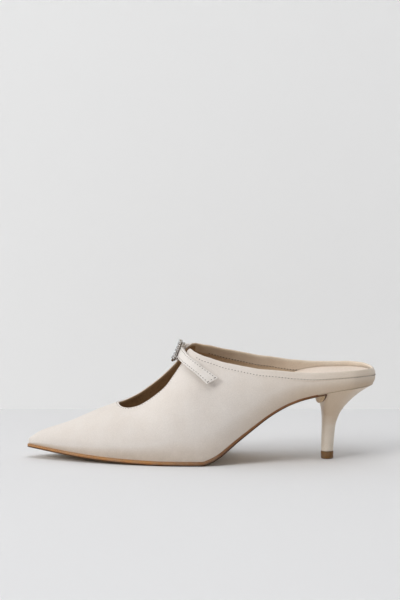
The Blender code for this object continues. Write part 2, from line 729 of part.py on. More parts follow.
def make_strap():
    """Sewn to the medial side, under the frame, over the bar, and down the lateral side."""
    ride = CLEARANCE + STRAP_THICKNESS / 2 + BAND_STEP
    over_tab = ride + CLEARANCE + TAB_THICKNESS + 0.0003
    spots = [
        on_last(0.515, 0.42, ride),
        on_last(0.495, 0.34, ride),
        on_last(0.474, 0.255, ride, 4),
        on_last(0.458, 0.175, ride, 10),
        on_buckle(-RIM_MIDDLE, UNDER_FRAME),
        on_buckle(-RIM_MIDDLE * 0.7, UNDER_FRAME + 0.0002),
        on_buckle(0, OVER_BAR),
        on_buckle(RIM_MIDDLE * 0.7, UNDER_FRAME + 0.0002),
        on_buckle(RIM_MIDDLE, UNDER_FRAME),
        on_last(0.455, -0.215, over_tab, 10),
        on_last(0.471, -0.300, over_tab, 6),
        on_last(0.496, -0.374, over_tab, 2),
        on_last(0.5325, -0.449, ride + 0.0008),
    ]
    grid = strap_grid(spots, STRAP_WIDTH, STRAP_THICKNESS, 44)
    return new_object("strap", plate(*grid), (0.74, 0.70, 0.63), 0.85)


def make_tab():
    """Sewn to the lateral side under the strap, with its other end under the bar."""
    rest = TAB_LEVEL + BAND_STEP
    spots = [
        on_last(0.491, -0.361, rest, 2),
        on_last(0.481, -0.333, rest, 5),
        on_last(0.467, -0.282, rest, 8),
        on_last(0.455, -0.215, rest, 10),
        on_buckle(RIM_MIDDLE, TAB_LEVEL - 0.0003),
        on_buckle(BAR_DIAMETER, TAB_LEVEL),
        on_buckle(-BAR_DIAMETER, TAB_LEVEL),
    ]
    grid = strap_grid(spots, TAB_WIDTH, TAB_THICKNESS, 18, 0.0003)
    return new_object("buckle_tab", plate(*grid), (0.70, 0.65, 0.58), 0.85)


def buckle_place(a, u, n):
    middle, along, wide, out = buckle_axes()
    return middle + along * a + wide * u + out * n


def make_buckle_frame():
    """A flat rectangular ring, with a lug at each end that carries the bar."""
    half_a, half_u = BUCKLE_REACH / 2, BUCKLE_HEIGHT / 2
    lug = BAR_DIAMETER
    a_lines = [-half_a, -half_a + BUCKLE_RIM, -lug, lug, half_a - BUCKLE_RIM, half_a]
    u_lines = [-half_u, -half_u + BUCKLE_RIM, half_u - BUCKLE_RIM, half_u]
    high = BUCKLE_LIFT + BUCKLE_THICKNESS
    top = [[buckle_place(a, u, high) for a in a_lines] for u in u_lines]
    low = [[buckle_place(a, u, BUCKLE_LIFT) for a in a_lines] for u in u_lines]
    bm = bmesh.new()
    sheets = [[[bm.verts.new(p) for p in row] for row in grid] for grid in (top, low)]
    holes = [(1, 1), (1, 2), (1, 3)]
    cells = [(r, c) for r in range(3) for c in range(5) if (r, c) not in holes]
    lugs = []
    for index, sheet in enumerate(sheets):
        for r, c in cells:
            face = bm.faces.new((sheet[r][c], sheet[r][c + 1], sheet[r + 1][c + 1], sheet[r + 1][c]))
            if index == 1 and c == 2:
                lugs.append(face)
    edges = [e for e in bm.edges if len(e.link_faces) == 1]
    partner = {a: b for ra, rb in zip(*sheets) for a, b in zip(ra, rb)}
    for edge in [e for e in edges if e.verts[0] in partner and e.verts[1] in partner]:
        a, b = edge.verts
        bm.faces.new((a, b, partner[b], partner[a]))
    down = -buckle_axes()[3] * (BUCKLE_LIFT - CLEARANCE * 2)
    for face in lugs:
        grown = bmesh.ops.extrude_face_region(bm, geom=[face])
        moved = [v for v in grown["geom"] if isinstance(v, bmesh.types.BMVert)]
        bmesh.ops.translate(bm, vec=down, verts=moved)
    bmesh.ops.delete(bm, geom=lugs, context="FACES_ONLY")
    return new_object("buckle_frame", bm, (0.75, 0.74, 0.72), 0.2, 1.0)


def make_buckle_bar():
    """The round bar between the two lugs, over the tab's end and under the strap."""
    half = BUCKLE_HEIGHT / 2 - BUCKLE_RIM - CLEARANCE
    high = BAR_LEVEL
    _, along, wide, out = buckle_axes()
    bm = bmesh.new()
    ends = []
    for u in (-half, half):
        middle = buckle_place(0, u, high)
        ends.append([bm.verts.new(middle + (along * cos(k * pi / 5) + out * sin(k * pi / 5))
                                  * BAR_DIAMETER / 2) for k in range(10)])
    for k in range(10):
        bm.faces.new((ends[0][k], ends[0][k - 1], ends[1][k - 1], ends[1][k]))
    for end in ends:
        bm.faces.new(end)
    return new_object("buckle_bar", bm, (0.75, 0.74, 0.72), 0.25, 1.0)


def stone_places():
    """Middles of the stones round the frame: six up each long side, two more on each end."""
    a_edge = BUCKLE_REACH / 2 - BUCKLE_RIM / 2
    u_edge = BUCKLE_HEIGHT / 2 - BUCKLE_RIM / 2
    rows = max(2, int(2 * u_edge / (STONE_DIAMETER * 1.12)) + 1)
    ends = max(2, int(2 * a_edge / (STONE_DIAMETER * 1.12)) + 1)
    places = [(side * a_edge, -u_edge + 2 * u_edge * k / (rows - 1))
              for side in (-1, 1) for k in range(rows)]
    places += [(-a_edge + 2 * a_edge * k / (ends - 1), side * u_edge)
               for side in (-1, 1) for k in range(1, ends - 1)]
    return places


def make_stone(index, a, u):
    """A cut stone: a cone below, a girdle, and a flat table on a sloping crown."""
    _, along, wide, out = buckle_axes()
    base = BUCKLE_LIFT + BUCKLE_THICKNESS + CLEARANCE / 2
    radius = STONE_DIAMETER / 2
    bm = bmesh.new()
    rings = []
    for height, size in ((0.0, 0.55), (0.5, 1.0), (0.62, 1.0), (1.0, 0.55)):
        middle = buckle_place(a, u, base + STONE_HEIGHT * height)
        rings.append([bm.verts.new(middle + (along * cos(k * pi / 4) + wide * sin(k * pi / 4))
                                   * radius * size) for k in range(8)])
    for low, high in zip(rings, rings[1:]):
        for k in range(8):
            bm.faces.new((low[k], low[k - 1], high[k - 1], high[k]))
    bm.faces.new(rings[0])
    bm.faces.new(rings[-1])
    return new_object(f"stone_{index:02d}", bm, (0.85, 0.86, 0.88), 0.05, 0.0, 10)


# %% Build everything


def main():
    for obj in list(bpy.data.objects):
        bpy.data.objects.remove(obj, do_unlink=True)
    make_upper()
    make_outsole()
    make_insole()
    make_heel()
    make_top_piece()
    make_strap()
    make_tab()
    make_buckle_frame()
    make_buckle_bar()
    for index, (a, u) in enumerate(stone_places(), 1):
        make_stone(index, a, u)


main()
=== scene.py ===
# %% [markdown]
# A pointed suede slipper for the left foot, with a low waisted heel, a teardrop throat and a
# strap with a small jewelled buckle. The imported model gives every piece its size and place. This
# script dresses it: each soft or rounded piece is modelled again with finer sections, and every
# surface gets a finish built from nodes. The toe points to -X, the outer side to -Y and +Z is up.

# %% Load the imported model
from bisect import bisect_right
from collections import namedtuple
from functools import lru_cache
from math import acos, atan, cos, exp, hypot, pi, radians, sin, sqrt

import bmesh
import bpy
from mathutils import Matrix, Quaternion, Vector


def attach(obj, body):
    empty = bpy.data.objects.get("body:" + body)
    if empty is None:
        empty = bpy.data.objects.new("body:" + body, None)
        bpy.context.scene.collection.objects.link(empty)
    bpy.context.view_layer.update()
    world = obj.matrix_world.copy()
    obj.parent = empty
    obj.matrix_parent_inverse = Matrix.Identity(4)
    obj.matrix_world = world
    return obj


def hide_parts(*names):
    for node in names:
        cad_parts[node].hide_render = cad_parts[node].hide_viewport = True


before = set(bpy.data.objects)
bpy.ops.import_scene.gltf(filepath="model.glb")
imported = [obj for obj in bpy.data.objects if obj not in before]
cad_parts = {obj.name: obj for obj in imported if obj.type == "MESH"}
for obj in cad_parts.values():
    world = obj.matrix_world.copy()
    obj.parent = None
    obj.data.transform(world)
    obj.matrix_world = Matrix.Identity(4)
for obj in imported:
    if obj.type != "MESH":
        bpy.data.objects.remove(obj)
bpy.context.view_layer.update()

print("nodes:", ", ".join(sorted(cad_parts)))

# %% [markdown]
# The photograph was taken from the outer side, a little above the floor, with a long lens. A long
# lens a good way off keeps the toe and the heel at the same scale. A camera aimed straight at the
# shoe would put it in the middle of the upright picture. Here it stands lower, so the camera is
# turned up by as much as the shoe lies below the middle.

# %% Camera
CAMERA_DISTANCE = 1.7
CAMERA_ELEVATION = radians(8.5)
CAMERA_TARGET = Vector((-0.00116, 0.0, 0.045))
LENS_MM = 132.0
SENSOR_MM = 36.0
PICTURE_HEIGHT = 600          # pixels
DROP_IN_PICTURE = 100.4       # pixels from the picture's middle down to the target


def make_camera():
    data = bpy.data.cameras.new("camera")
    data.lens = LENS_MM
    data.sensor_width = SENSOR_MM
    data.clip_end = 10.0
    camera = bpy.data.objects.new("camera", data)
    bpy.context.scene.collection.objects.link(camera)
    away = Vector((0.0, -cos(CAMERA_ELEVATION), sin(CAMERA_ELEVATION))) * CAMERA_DISTANCE
    camera.location = CAMERA_TARGET + away
    focal_pixels = LENS_MM / SENSOR_MM * PICTURE_HEIGHT
    tilt = CAMERA_ELEVATION - atan(DROP_IN_PICTURE / focal_pixels)
    camera.rotation_euler = (pi / 2 - tilt, 0.0, 0.0)
    bpy.context.scene.camera = camera
    return camera


camera = make_camera()
print("camera", [round(c, 3) for c in camera.location])

# %% [markdown]
# A shader is a small graph of nodes. These helpers keep the graphs short to write: one adds a
# node and sets or links its inputs, the next two do a sum and mix two colours. Colours are given
# as they look on a screen, from 0 to 255, and turned into the light values that nodes use.

# %% Helpers for node graphs


def seen(red, green, blue):
    """A screen colour as the light values of a node, with full alpha."""
    light = []
    for part in (red, green, blue):
        share = part / 255
        light.append(share / 12.92 if share < 0.04 else ((share + 0.055) / 1.055) ** 2.4)
    return (*light, 1.0)


def add_node(tree, kind, place, inputs=None, **settings):
    node = tree.nodes.new(kind)
    node.location = place
    for name, value in settings.items():
        setattr(node, name, value)
    for name, value in (inputs or {}).items():
        if isinstance(value, bpy.types.NodeSocket):
            tree.links.new(value, node.inputs[name])
        else:
            node.inputs[name].default_value = value
    return node


def sum_of(tree, place, operation, a, b):
    return add_node(tree, "ShaderNodeMath", place, {0: a, 1: b}, operation=operation).outputs[0]


def mixed(tree, place, share, a, b, blend="MIX"):
    """Mixes two colours: 0 gives a and 1 gives b."""
    node = add_node(tree, "ShaderNodeMix", place, {0: share, 6: a, 7: b}, data_type="RGBA",
                    blend_type=blend)
    return node.outputs[2]


def ramp(tree, place, value, low, high, to_low=0.0, to_high=1.0):
    """Stretches the part of a value between low and high over a new range."""
    inputs = {"Value": value, "From Min": low, "From Max": high}
    inputs.update({"To Min": to_low, "To Max": to_high})
    return add_node(tree, "ShaderNodeMapRange", place, inputs).outputs["Result"]


def noise(tree, place, where, scale, detail=3.0, roughness=0.6):
    inputs = {"Vector": where, "Scale": scale, "Detail": detail, "Roughness": roughness}
    return add_node(tree, "ShaderNodeTexNoise", place, inputs).outputs["Fac"]


def here(tree, place):
    """Where a surface point is, in metres, before the piece is moved."""
    return add_node(tree, "ShaderNodeTexCoord", place).outputs["Object"]


def new_material(name):
    material = bpy.data.materials.new(name)
    material.use_nodes = True
    tree = material.node_tree
    return material, tree, tree.nodes["Principled BSDF"]


print("half grey on a screen is", round(seen(128, 128, 128)[0], 3), "as light")

# %% [markdown]
# The floor and the wall behind are plain and pale, nearly one tone, and meet in a faint line just
# above the ball of the foot. One sheet bent up in a round would blur that line, so these are two
# flat sheets that meet in a corner. The wall stands close behind the shoe. Its paper is clear from
# the back, so that a picture taken from behind shows the shoe too.

# %% Floor and wall
WALL_AT = 0.25            # from the shoe's middle line
SHEET_REACH = 3.0
FLOOR_PAPER = ((222, 222, 223), (225, 225, 225))
WALL_PAPER = ((246, 246, 245), (246, 246, 245))
PAPER_CLOUDS = 2.0        # scale of the faint clouds between a paper's two tones


def make_paper(name, tones, one_sided):
    """Matt paper; the one-sided kind is clear from behind."""
    material, tree, shader = new_material(name)
    clouds = noise(tree, (-600, 0), here(tree, (-800, 0)), PAPER_CLOUDS)
    tree.links.new(mixed(tree, (-300, 0), clouds, seen(*tones[0]), seen(*tones[1])),
                   shader.inputs["Base Color"])
    shader.inputs["Roughness"].default_value = 0.9
    shader.inputs["Specular IOR Level"].default_value = 0.1
    if one_sided:
        behind = add_node(tree, "ShaderNodeNewGeometry", (0, 300)).outputs["Backfacing"]
        clear = add_node(tree, "ShaderNodeBsdfTransparent", (0, -500)).outputs["BSDF"]
        both = add_node(tree, "ShaderNodeMixShader", (400, 0),
                        {0: behind, 1: shader.outputs["BSDF"], 2: clear}).outputs["Shader"]
        tree.links.new(both, tree.nodes["Material Output"].inputs["Surface"])
    return material


def make_stage():
    floor = [(-SHEET_REACH, 0.0), (WALL_AT, 0.0), (SHEET_REACH, 0.0)]
    wall = [(WALL_AT, 0.0), (WALL_AT, SHEET_REACH)]
    mesh = bpy.data.meshes.new("stage")
    bm = bmesh.new()
    for index, profile in enumerate((floor, wall)):
        rows = [[bm.verts.new((x, y, z)) for x in (-SHEET_REACH, SHEET_REACH)]
                for y, z in profile]
        for (a, b), (d, c) in zip(rows, rows[1:]):
            bm.faces.new((a, b, c, d)).material_index = index
    bm.to_mesh(mesh)
    bm.free()
    mesh.materials.append(make_paper("floor_paper", FLOOR_PAPER, False))
    mesh.materials.append(make_paper("wall_paper", WALL_PAPER, True))
    stage = bpy.data.objects.new("stage", mesh)
    bpy.context.scene.collection.objects.link(stage)
    return stage


stage = make_stage()
print("wall", WALL_AT, "m behind the shoe's middle line")

# %% [markdown]
# The light is soft, as from large windows. Most of it comes from above and in front of the toe, so
# the suede is palest at the toe and darkens towards the heel, and the shadow lies under the sole
# and to the right. Square area lamps give it: a larger square makes a softer shadow. A pale sky
# lifts what the lamps leave dark.

# %% Lights
Lamp = namedtuple("Lamp", "name place size power")
LAMPS = [
    Lamp("key_light", (-3.0, -2.2, 2.3), 1.7, 73.0),
    Lamp("fill_light", (0.4, -3.4, 1.2), 2.6, 6.0),
    Lamp("top_light", (-0.2, -0.8, 2.8), 1.8, 27.5),
]
SKY_COLOUR = (250, 251, 255)
SKY_STRENGTH = 0.285


def make_lights():
    for lamp in LAMPS:
        data = bpy.data.lights.new(lamp.name, "AREA")
        data.shape = "SQUARE"
        data.size = lamp.size
        data.energy = lamp.power
        light = bpy.data.objects.new(lamp.name, data)
        light.location = lamp.place
        aim = CAMERA_TARGET - Vector(lamp.place)
        light.rotation_euler = aim.to_track_quat("-Z", "Y").to_euler()
        bpy.context.scene.collection.objects.link(light)
    world = bpy.data.worlds.new("studio")
    world.use_nodes = True
    sky = world.node_tree.nodes["Background"]
    sky.inputs["Color"].default_value = seen(*SKY_COLOUR)
    sky.inputs["Strength"].default_value = SKY_STRENGTH
    bpy.context.scene.world = world
    bpy.context.scene.view_settings.view_transform = "Standard"


make_lights()
print(len(LAMPS), "soft lights")

# %% [markdown]
# Suede is the brushed inner side of leather. Its fibres lie in patches that catch the light
# differently, and close up it is a short, slightly speckled pile. The group mixes two tones over
# large patches, speckles them with a fine noise, and gives that noise as a height for the bump.

# %% Suede nap, a node group
FLOAT, COLOUR = "NodeSocketFloat", "NodeSocketColor"


def new_group(name, inputs, outputs):
    group = bpy.data.node_groups.new(name, "ShaderNodeTree")
    for label, kind, value in inputs:
        socket = group.interface.new_socket(label, in_out="INPUT", socket_type=kind)
        socket.default_value = value
    for label, kind in outputs:
        group.interface.new_socket(label, in_out="OUTPUT", socket_type=kind)
    start = add_node(group, "NodeGroupInput", (-1000, 0)).outputs
    end = add_node(group, "NodeGroupOutput", (700, 0)).inputs
    return group, start, end


def make_nap_group():
    group, start, end = new_group(
        "suede nap",
        [("Brushed", COLOUR, seen(215, 205, 190)), ("Ruffled", COLOUR, seen(200, 188, 170)),
         ("Patch scale", FLOAT, 55.0), ("Fibre scale", FLOAT, 1300.0)],
        [("Color", COLOUR), ("Height", FLOAT)])
    where = here(group, (-1000, -300))
    patches = noise(group, (-700, 200), where, start["Patch scale"])
    fibres = noise(group, (-700, -200), where, start["Fibre scale"], 5.0, 0.75)
    lying = ramp(group, (-450, 200), patches, 0.35, 0.65)
    tone = mixed(group, (-200, 200), lying, start["Brushed"], start["Ruffled"])
    speck = ramp(group, (-450, -100), fibres, 0.3, 0.7, 0.9, 1.07)
    shade = add_node(group, "ShaderNodeCombineColor", (-200, -100),
                     {"Red": speck, "Green": speck, "Blue": speck}).outputs["Color"]
    group.links.new(mixed(group, (100, 100), 1.0, tone, shade, "MULTIPLY"), end["Color"])
    group.links.new(fibres, end["Height"])
    return group


nap_group = make_nap_group()
print("group", nap_group.name)

# %% [markdown]
# Smooth leather is a net of small pebbled cells with fine creases between them. A smooth Voronoi
# pattern gives the cells, and a little noise keeps them from looking like tiles. The same group
# serves the lining, the footbed, the sole and the covered heel, each with its own cell size.

# %% Leather grain, a node group


def make_grain_group():
    group, start, end = new_group(
        "leather grain",
        [("Ground", COLOUR, seen(180, 150, 120)), ("Valleys", COLOUR, seen(150, 120, 90)),
         ("Cell scale", FLOAT, 900.0), ("Cloud scale", FLOAT, 40.0)],
        [("Color", COLOUR), ("Height", FLOAT)])
    where = here(group, (-1000, -300))
    cells = add_node(group, "ShaderNodeTexVoronoi", (-700, -200),
                     {"Vector": where, "Scale": start["Cell scale"], "Smoothness": 0.6},
                     feature="SMOOTH_F1").outputs["Distance"]
    clouds = noise(group, (-700, 200), where, start["Cloud scale"])
    depth = sum_of(group, (-400, 0), "MULTIPLY", cells, clouds)
    share = ramp(group, (-150, 100), depth, 0.1, 0.42)
    tone = mixed(group, (150, 100), share, start["Ground"], start["Valleys"])
    group.links.new(tone, end["Color"])
    group.links.new(ramp(group, (150, -150), cells, 0.0, 0.8, 1.0, 0.0), end["Height"])
    return group


grain_group = make_grain_group()
print("group", grain_group.name)

# %% [markdown]
# What stands on the floor takes up a little dust and dirt, most of it low down. This group tints a
# colour towards dust below a given height, broken up by noise so that no straight line shows.

# %% Dust near the floor, a node group


def make_dust_group():
    group, start, end = new_group(
        "floor dust",
        [("Color", COLOUR, seen(200, 190, 170)), ("Dust", COLOUR, seen(150, 135, 115)),
         ("Reach", FLOAT, 0.02), ("Amount", FLOAT, 0.3)],
        [("Color", COLOUR)])
    where = here(group, (-1000, -300))
    height = add_node(group, "ShaderNodeSeparateXYZ", (-750, -300), {0: where}).outputs["Z"]
    level = sum_of(group, (-550, -300), "DIVIDE", height, start["Reach"])
    near = ramp(group, (-350, -300), level, 0.0, 1.0, 1.0, 0.0)
    clumps = ramp(group, (-350, -600), noise(group, (-750, -600), where, 160.0, 4.0), 0.35, 0.7)
    share = sum_of(group, (-100, -400), "MULTIPLY", near, clumps)
    share = sum_of(group, (100, -300), "MULTIPLY", share, start["Amount"])
    group.links.new(mixed(group, (350, 0), share, start["Color"], start["Dust"]), end["Color"])
    return group


dust_group = make_dust_group()
print("group", dust_group.name)

# %% [markdown]
# Suede is painted darker towards the heel and where it curves in under the foot: this is painted
# shade, where the light falls off. The sole's edge is darker along the waist, by dark edge ink with
# painted shade. This group multiplies a colour by one tone of painted shade that comes in along the
# shoe and by another on what faces down. It serves five finishes, each with its own tones.

# %% Painted shade along the shoe and underneath, a node group
UNDER_FROM_TO = (0.0, -0.35)       # the upward part of the normal where the under tone comes in


def make_painted_shade_group():
    white = seen(255, 255, 255)
    group, start, end = new_group(
        "painted_shade",
        [("Color", COLOUR, white), ("Painted shade along", COLOUR, white), ("Start", FLOAT, 0.0),
         ("End", FLOAT, 0.1), ("Painted shade under", COLOUR, white)],
        [("Color", COLOUR)])
    spot = add_node(group, "ShaderNodeTexCoord", (-1000, -300)).outputs
    x = add_node(group, "ShaderNodeSeparateXYZ", (-750, 200), {0: spot["Object"]}).outputs["X"]
    up = add_node(group, "ShaderNodeSeparateXYZ", (-750, -300), {0: spot["Normal"]}).outputs["Z"]
    # painted shade along the shoe, then painted shade on what faces down
    rearward = ramp(group, (-450, 200), x, start["Start"], start["End"])
    downward = ramp(group, (-450, -300), up, *UNDER_FROM_TO)
    tone = mixed(group, (-100, 200), rearward, start["Color"], start["Painted shade along"], "MULTIPLY")
    tone = mixed(group, (200, 0), downward, tone, start["Painted shade under"], "MULTIPLY")
    group.links.new(tone, end["Color"])
    return group


painted_shade_group = make_painted_shade_group()
print("group", painted_shade_group.name)

# %% [markdown]
# Now the finishes. Each keeps its Principled shader in the material itself, takes its colour and
# its height from one of the groups, and sets what is the same all over, such as gloss and sheen,
# straight on the shader. Suede has a sheen and no gloss, leather a soft gloss.

# %% Finishes from the groups
Finish = namedtuple("Finish", "name group light dark large fine bump dust sockets")
PaintedShade = namedtuple("PaintedShade", "tone start end under")
WHITE = (255, 255, 255)   # a tone that changes nothing
# painted shade: the suede darker towards the heel and on what faces down
PAINTED_SHADE = {"suede": PaintedShade((246, 238, 226), 0.02, 0.125, (236, 226, 214)),
        # the sole's edge: darker along the waist by dark edge ink with painted shade, painted shade
        # below
        "sole_edge": PaintedShade((166, 149, 82), -0.045, 0.012, (210, 190, 170)),
        # painted shade on the heel where it faces down under the seat
        "heel_leather": PaintedShade(WHITE, 0.0, 0.1, (232, 219, 205)),
        # painted shade inside the facing and the quarter lining, darker towards the front
        "facing_suede": PaintedShade((200, 180, 152), 0.075, -0.02, WHITE),
        "lit_quarter_lining": PaintedShade((205, 180, 150), 0.065, -0.01, WHITE)}
SUEDE_SOCKETS = {"Roughness": 0.95, "Specular IOR Level": 0.15, "Sheen Weight": 0.25,
                 "Sheen Roughness": 0.6}
FINISHES = [
    Finish("suede", "nap", (227, 219, 211), (224, 215, 206), 70.0, 1500.0, 0.00012, 0.25,
           SUEDE_SOCKETS),
    Finish("strap_suede", "nap", (233, 227, 221), (227, 220, 212), 110.0, 1700.0, 0.0001, 0.0,
           SUEDE_SOCKETS),
    Finish("facing_suede", "nap", (232, 218, 200), (224, 208, 188), 60.0, 1500.0, 0.00012, 0.0,
           SUEDE_SOCKETS),
    # painted light: the lining leather again, painted paler for the quarters
    Finish("lit_quarter_lining", "grain", (222, 202, 176), (206, 184, 156), 40.0, 1100.0, 0.0001, 0.0,
           {"Roughness": 0.6, "Specular IOR Level": 0.3}),
    Finish("lining_leather", "grain", (172, 142, 106), (140, 110, 76), 40.0, 1100.0, 0.0001, 0.0,
           {"Roughness": 0.55, "Specular IOR Level": 0.35}),
    Finish("footbed_leather", "grain", (232, 217, 203), (220, 203, 186), 30.0, 800.0, 0.00012, 0.0,
           {"Roughness": 0.5, "Specular IOR Level": 0.4}),
    Finish("sole_edge", "grain", (196, 138, 72), (160, 104, 44), 120.0, 1500.0, 0.00006, 0.6,
           {"Roughness": 0.38, "Coat Weight": 0.25, "Coat Roughness": 0.3}),
    Finish("sole_leather", "grain", (214, 186, 148), (188, 156, 116), 35.0, 900.0, 0.00008, 0.7,
           {"Roughness": 0.5}),
    # the bevel under the sole's edge: dark dye with painted shade
    Finish("bevel_dye_and_shade", "grain", (84, 56, 28), (58, 38, 18), 120.0, 1500.0, 0.00004, 0.2,
           {"Roughness": 0.45}),
    Finish("heel_leather", "grain", (234, 223, 208), (226, 213, 195), 40.0, 1600.0, 0.00003, 0.25,
           {"Roughness": 0.36, "Coat Weight": 0.3, "Coat Roughness": 0.25}),
    Finish("seat_leather", "grain", (178, 160, 137), (160, 142, 118), 40.0, 1600.0, 0.00003, 0.0,
           {"Roughness": 0.6}),
    Finish("top_piece_rubber", "grain", (128, 84, 14), (102, 64, 8), 160.0, 1400.0, 0.00008, 0.5,
           {"Roughness": 0.55}),
    # the thread's own brown, darkened with painted shade of its holes
    Finish("thread_and_hole_shade", "nap", (88, 72, 56), (64, 50, 38), 400.0, 3000.0, 0.00006, 0.0,
           {"Roughness": 0.7, "Sheen Weight": 0.2}),
]
print(len(FINISHES), "finishes of suede, leather, rubber and thread")

# %% A material for each finish
GROUPS = {"nap": nap_group, "grain": grain_group}
LEVELS = {"nap": ("Brushed", "Ruffled", "Patch scale", "Fibre scale"),
          "grain": ("Ground", "Valleys", "Cloud scale", "Cell scale")}
DUST_REACH = 0.018


def make_finish(finish):
    material, tree, shader = new_material(finish.name)
    values = (seen(*finish.light), seen(*finish.dark), finish.large, finish.fine)
    surface = add_node(tree, "ShaderNodeGroup", (-900, 0), dict(zip(LEVELS[finish.group], values)),
                       node_tree=GROUPS[finish.group])
    colour = surface.outputs["Color"]
    # painted shade from its group, for the finishes that have it
    if finish.name in PAINTED_SHADE:
        shade_tones = PAINTED_SHADE[finish.name]
        inputs = {"Color": colour, "Painted shade along": seen(*shade_tones.tone), "Start": shade_tones.start,
                  "End": shade_tones.end, "Painted shade under": seen(*shade_tones.under)}
        colour = add_node(tree, "ShaderNodeGroup", (-750, 200), inputs,
                          node_tree=painted_shade_group).outputs["Color"]
    if finish.dust > 0:
        inputs = {"Color": colour, "Reach": DUST_REACH, "Amount": finish.dust}
        colour = add_node(tree, "ShaderNodeGroup", (-600, 100), inputs,
                          node_tree=dust_group).outputs["Color"]
    tree.links.new(colour, shader.inputs["Base Color"])
    bump = add_node(tree, "ShaderNodeBump", (-300, -300),
                    {"Height": surface.outputs["Height"], "Distance": finish.bump, "Strength": 1.0})
    tree.links.new(bump.outputs["Normal"], shader.inputs["Normal"])
    for name, value in finish.sockets.items():
        shader.inputs[name].default_value = value
    return material


finish_of = {finish.name: make_finish(finish) for finish in FINISHES}
print(len(finish_of), "finishes")

# %% [markdown]
# The buckle is polished plated metal, with hairline scratches that only change its roughness. The
# stones are clear glass cut in facets.

# %% Metal and glass


def make_metal(name, bright, dull):
    material, tree, shader = new_material(name)
    shader.inputs["Metallic"].default_value = 1.0
    where = here(tree, (-900, 0))
    scratches = noise(tree, (-650, 0), where, 2500.0, 6.0, 0.8)
    tarnish = ramp(tree, (-400, 200), noise(tree, (-650, 300), where, 400.0), 0.4, 0.7)
    tone = mixed(tree, (-200, 200), tarnish, seen(*bright), seen(*dull))
    tree.links.new(tone, shader.inputs["Base Color"])
    tree.links.new(ramp(tree, (-300, -100), scratches, 0.3, 0.7, 0.12, 0.3),
                   shader.inputs["Roughness"])
    return material


def make_cut_glass():
    material, tree, shader = new_material("cut_glass")
    shader.inputs["IOR"].default_value = 1.6
    shader.inputs["Transmission Weight"].default_value = 1.0
    clouds = noise(tree, (-650, 0), here(tree, (-900, 0)), 700.0)
    tree.links.new(mixed(tree, (-200, 100), clouds, seen(252, 253, 255), seen(232, 236, 242)),
                   shader.inputs["Base Color"])
    gloss = ramp(tree, (-300, -100), clouds, 0.3, 0.7, 0.0, 0.05)
    tree.links.new(gloss, shader.inputs["Roughness"])
    return material


finish_of["polished_metal"] = make_metal("polished_metal", (236, 233, 228), (205, 198, 188))
finish_of["aged_metal"] = make_metal("aged_metal", (112, 94, 74), (64, 50, 38))
finish_of["cut_glass"] = make_cut_glass()
print(len(finish_of), "finishes with metal and glass")

# %% [markdown]
# The shoe was built on a last, the foot-shaped block that a maker pulls the leather over. The same
# short tables as in the model's own source describe it here, so that every piece made below lies
# on the model: sections of the last, the line of the sole, and the edge of the opening. Only that
# edge is drawn a little closer to the real one than the model has it, by less than 2 mm.

# %% Driving sizes
LENGTH = 0.268            # toe tip to the back of the heel
HALF_BALL = 0.0375        # half width of the last's sole at the ball of the foot
UPPER_BULGE = 0.0029      # how far the upper stands out past its lower edge at the ball
INSTEP_DEPTH = 0.089      # height of the last's ridge over the sole at the instep
HEEL_HEIGHT = 0.0572      # underside of the sole at the back of the seat
TOE_SPRING = 0.0084       # underside of the sole at the toe tip
SOLE_THICKNESS = 0.003    # outsole at the ball
SOLE_EDGE = 0.0009        # how far the outsole stands out past the upper's lower edge
FOOTBED_THICKNESS = 0.0144    # insole where it is thickest
WALL = 0.0019             # upper with its lining
BAND_WIDTH = 0.0062       # collar facing
BAND_STEP = 0.0006        # how far the collar facing stands proud
BACK_CURVE = 0.0022       # how far the back line draws in at the seat and at the topline
TOP_PIECE_HEIGHT = 0.0056
SHAFT_LENGTH = 0.0095     # heel at the top piece, front to back
SHAFT_WIDTH = 0.0100      # heel at the top piece, side to side
SHAFT_SET_BACK = 0.0038   # front of the shaft behind the front of the seat
SEAT_FRONT = 0.0454       # front of the heel's seat, from the back of the shoe
CLEARANCE = 0.0003        # gap that pieces which touch keep to each other
THROAT_TIP = 0.2605       # front end of the throat, as a share of the length from the toe
print("the last is", LENGTH * 1000, "mm long and", HALF_BALL * 2000, "mm wide")

# %% Table of the last's sections
Section = namedtuple("Section", "x lateral medial bulge bulge_height ridge_side ridge")
LAST = [
    Section(0.000, -0.107, 0.107, 0.00, 0.013, 0.107, 0.038),
    Section(0.011, -0.013, 0.195, 0.21, 0.020, 0.107, 0.070),
    Section(0.034, 0.080, 0.283, 0.31, 0.032, 0.104, 0.121),
    Section(0.071, 0.221, 0.408, 0.38, 0.043, 0.099, 0.174),
    Section(0.116, 0.379, 0.541, 0.45, 0.056, 0.093, 0.232),
    Section(0.164, 0.531, 0.669, 0.55, 0.073, 0.088, 0.307),
    Section(0.216, 0.667, 0.781, 0.66, 0.090, 0.085, 0.385),
    Section(0.265, 0.771, 0.864, 0.76, 0.107, 0.110, 0.446),
    Section(0.313, 0.856, 0.931, 0.83, 0.124, 0.280, 0.513),
    Section(0.351, 0.909, 0.971, 0.90, 0.146, 0.340, 0.590),
    Section(0.388, 0.955, 0.995, 0.97, 0.169, 0.270, 0.690),
    Section(0.425, 0.984, 1.000, 1.00, 0.191, 0.133, 0.812),
    Section(0.463, 1.000, 0.981, 1.00, 0.208, 0.128, 0.949),
    Section(0.500, 1.000, 0.933, 0.90, 0.219, 0.107, 1.000),
    Section(0.545, 0.971, 0.848, 0.83, 0.225, 0.080, 0.921),
    Section(0.619, 0.864, 0.688, 0.83, 0.213, 0.040, 0.749),
    Section(0.694, 0.771, 0.587, 0.90, 0.180, 0.000, 0.584),
    Section(0.769, 0.720, 0.576, 0.97, 0.140, 0.000, 0.478),
    Section(0.843, 0.731, 0.661, 0.76, 0.112, 0.000, 0.425),
    Section(0.918, 0.709, 0.683, 0.52, 0.090, 0.000, 0.396),
    Section(0.970, 0.520, 0.515, 0.34, 0.079, 0.000, 0.380),
    Section(1.000, 0.000, 0.000, 0.00, 0.073, 0.000, 0.375),
]
print(len(LAST), "sections of the last")

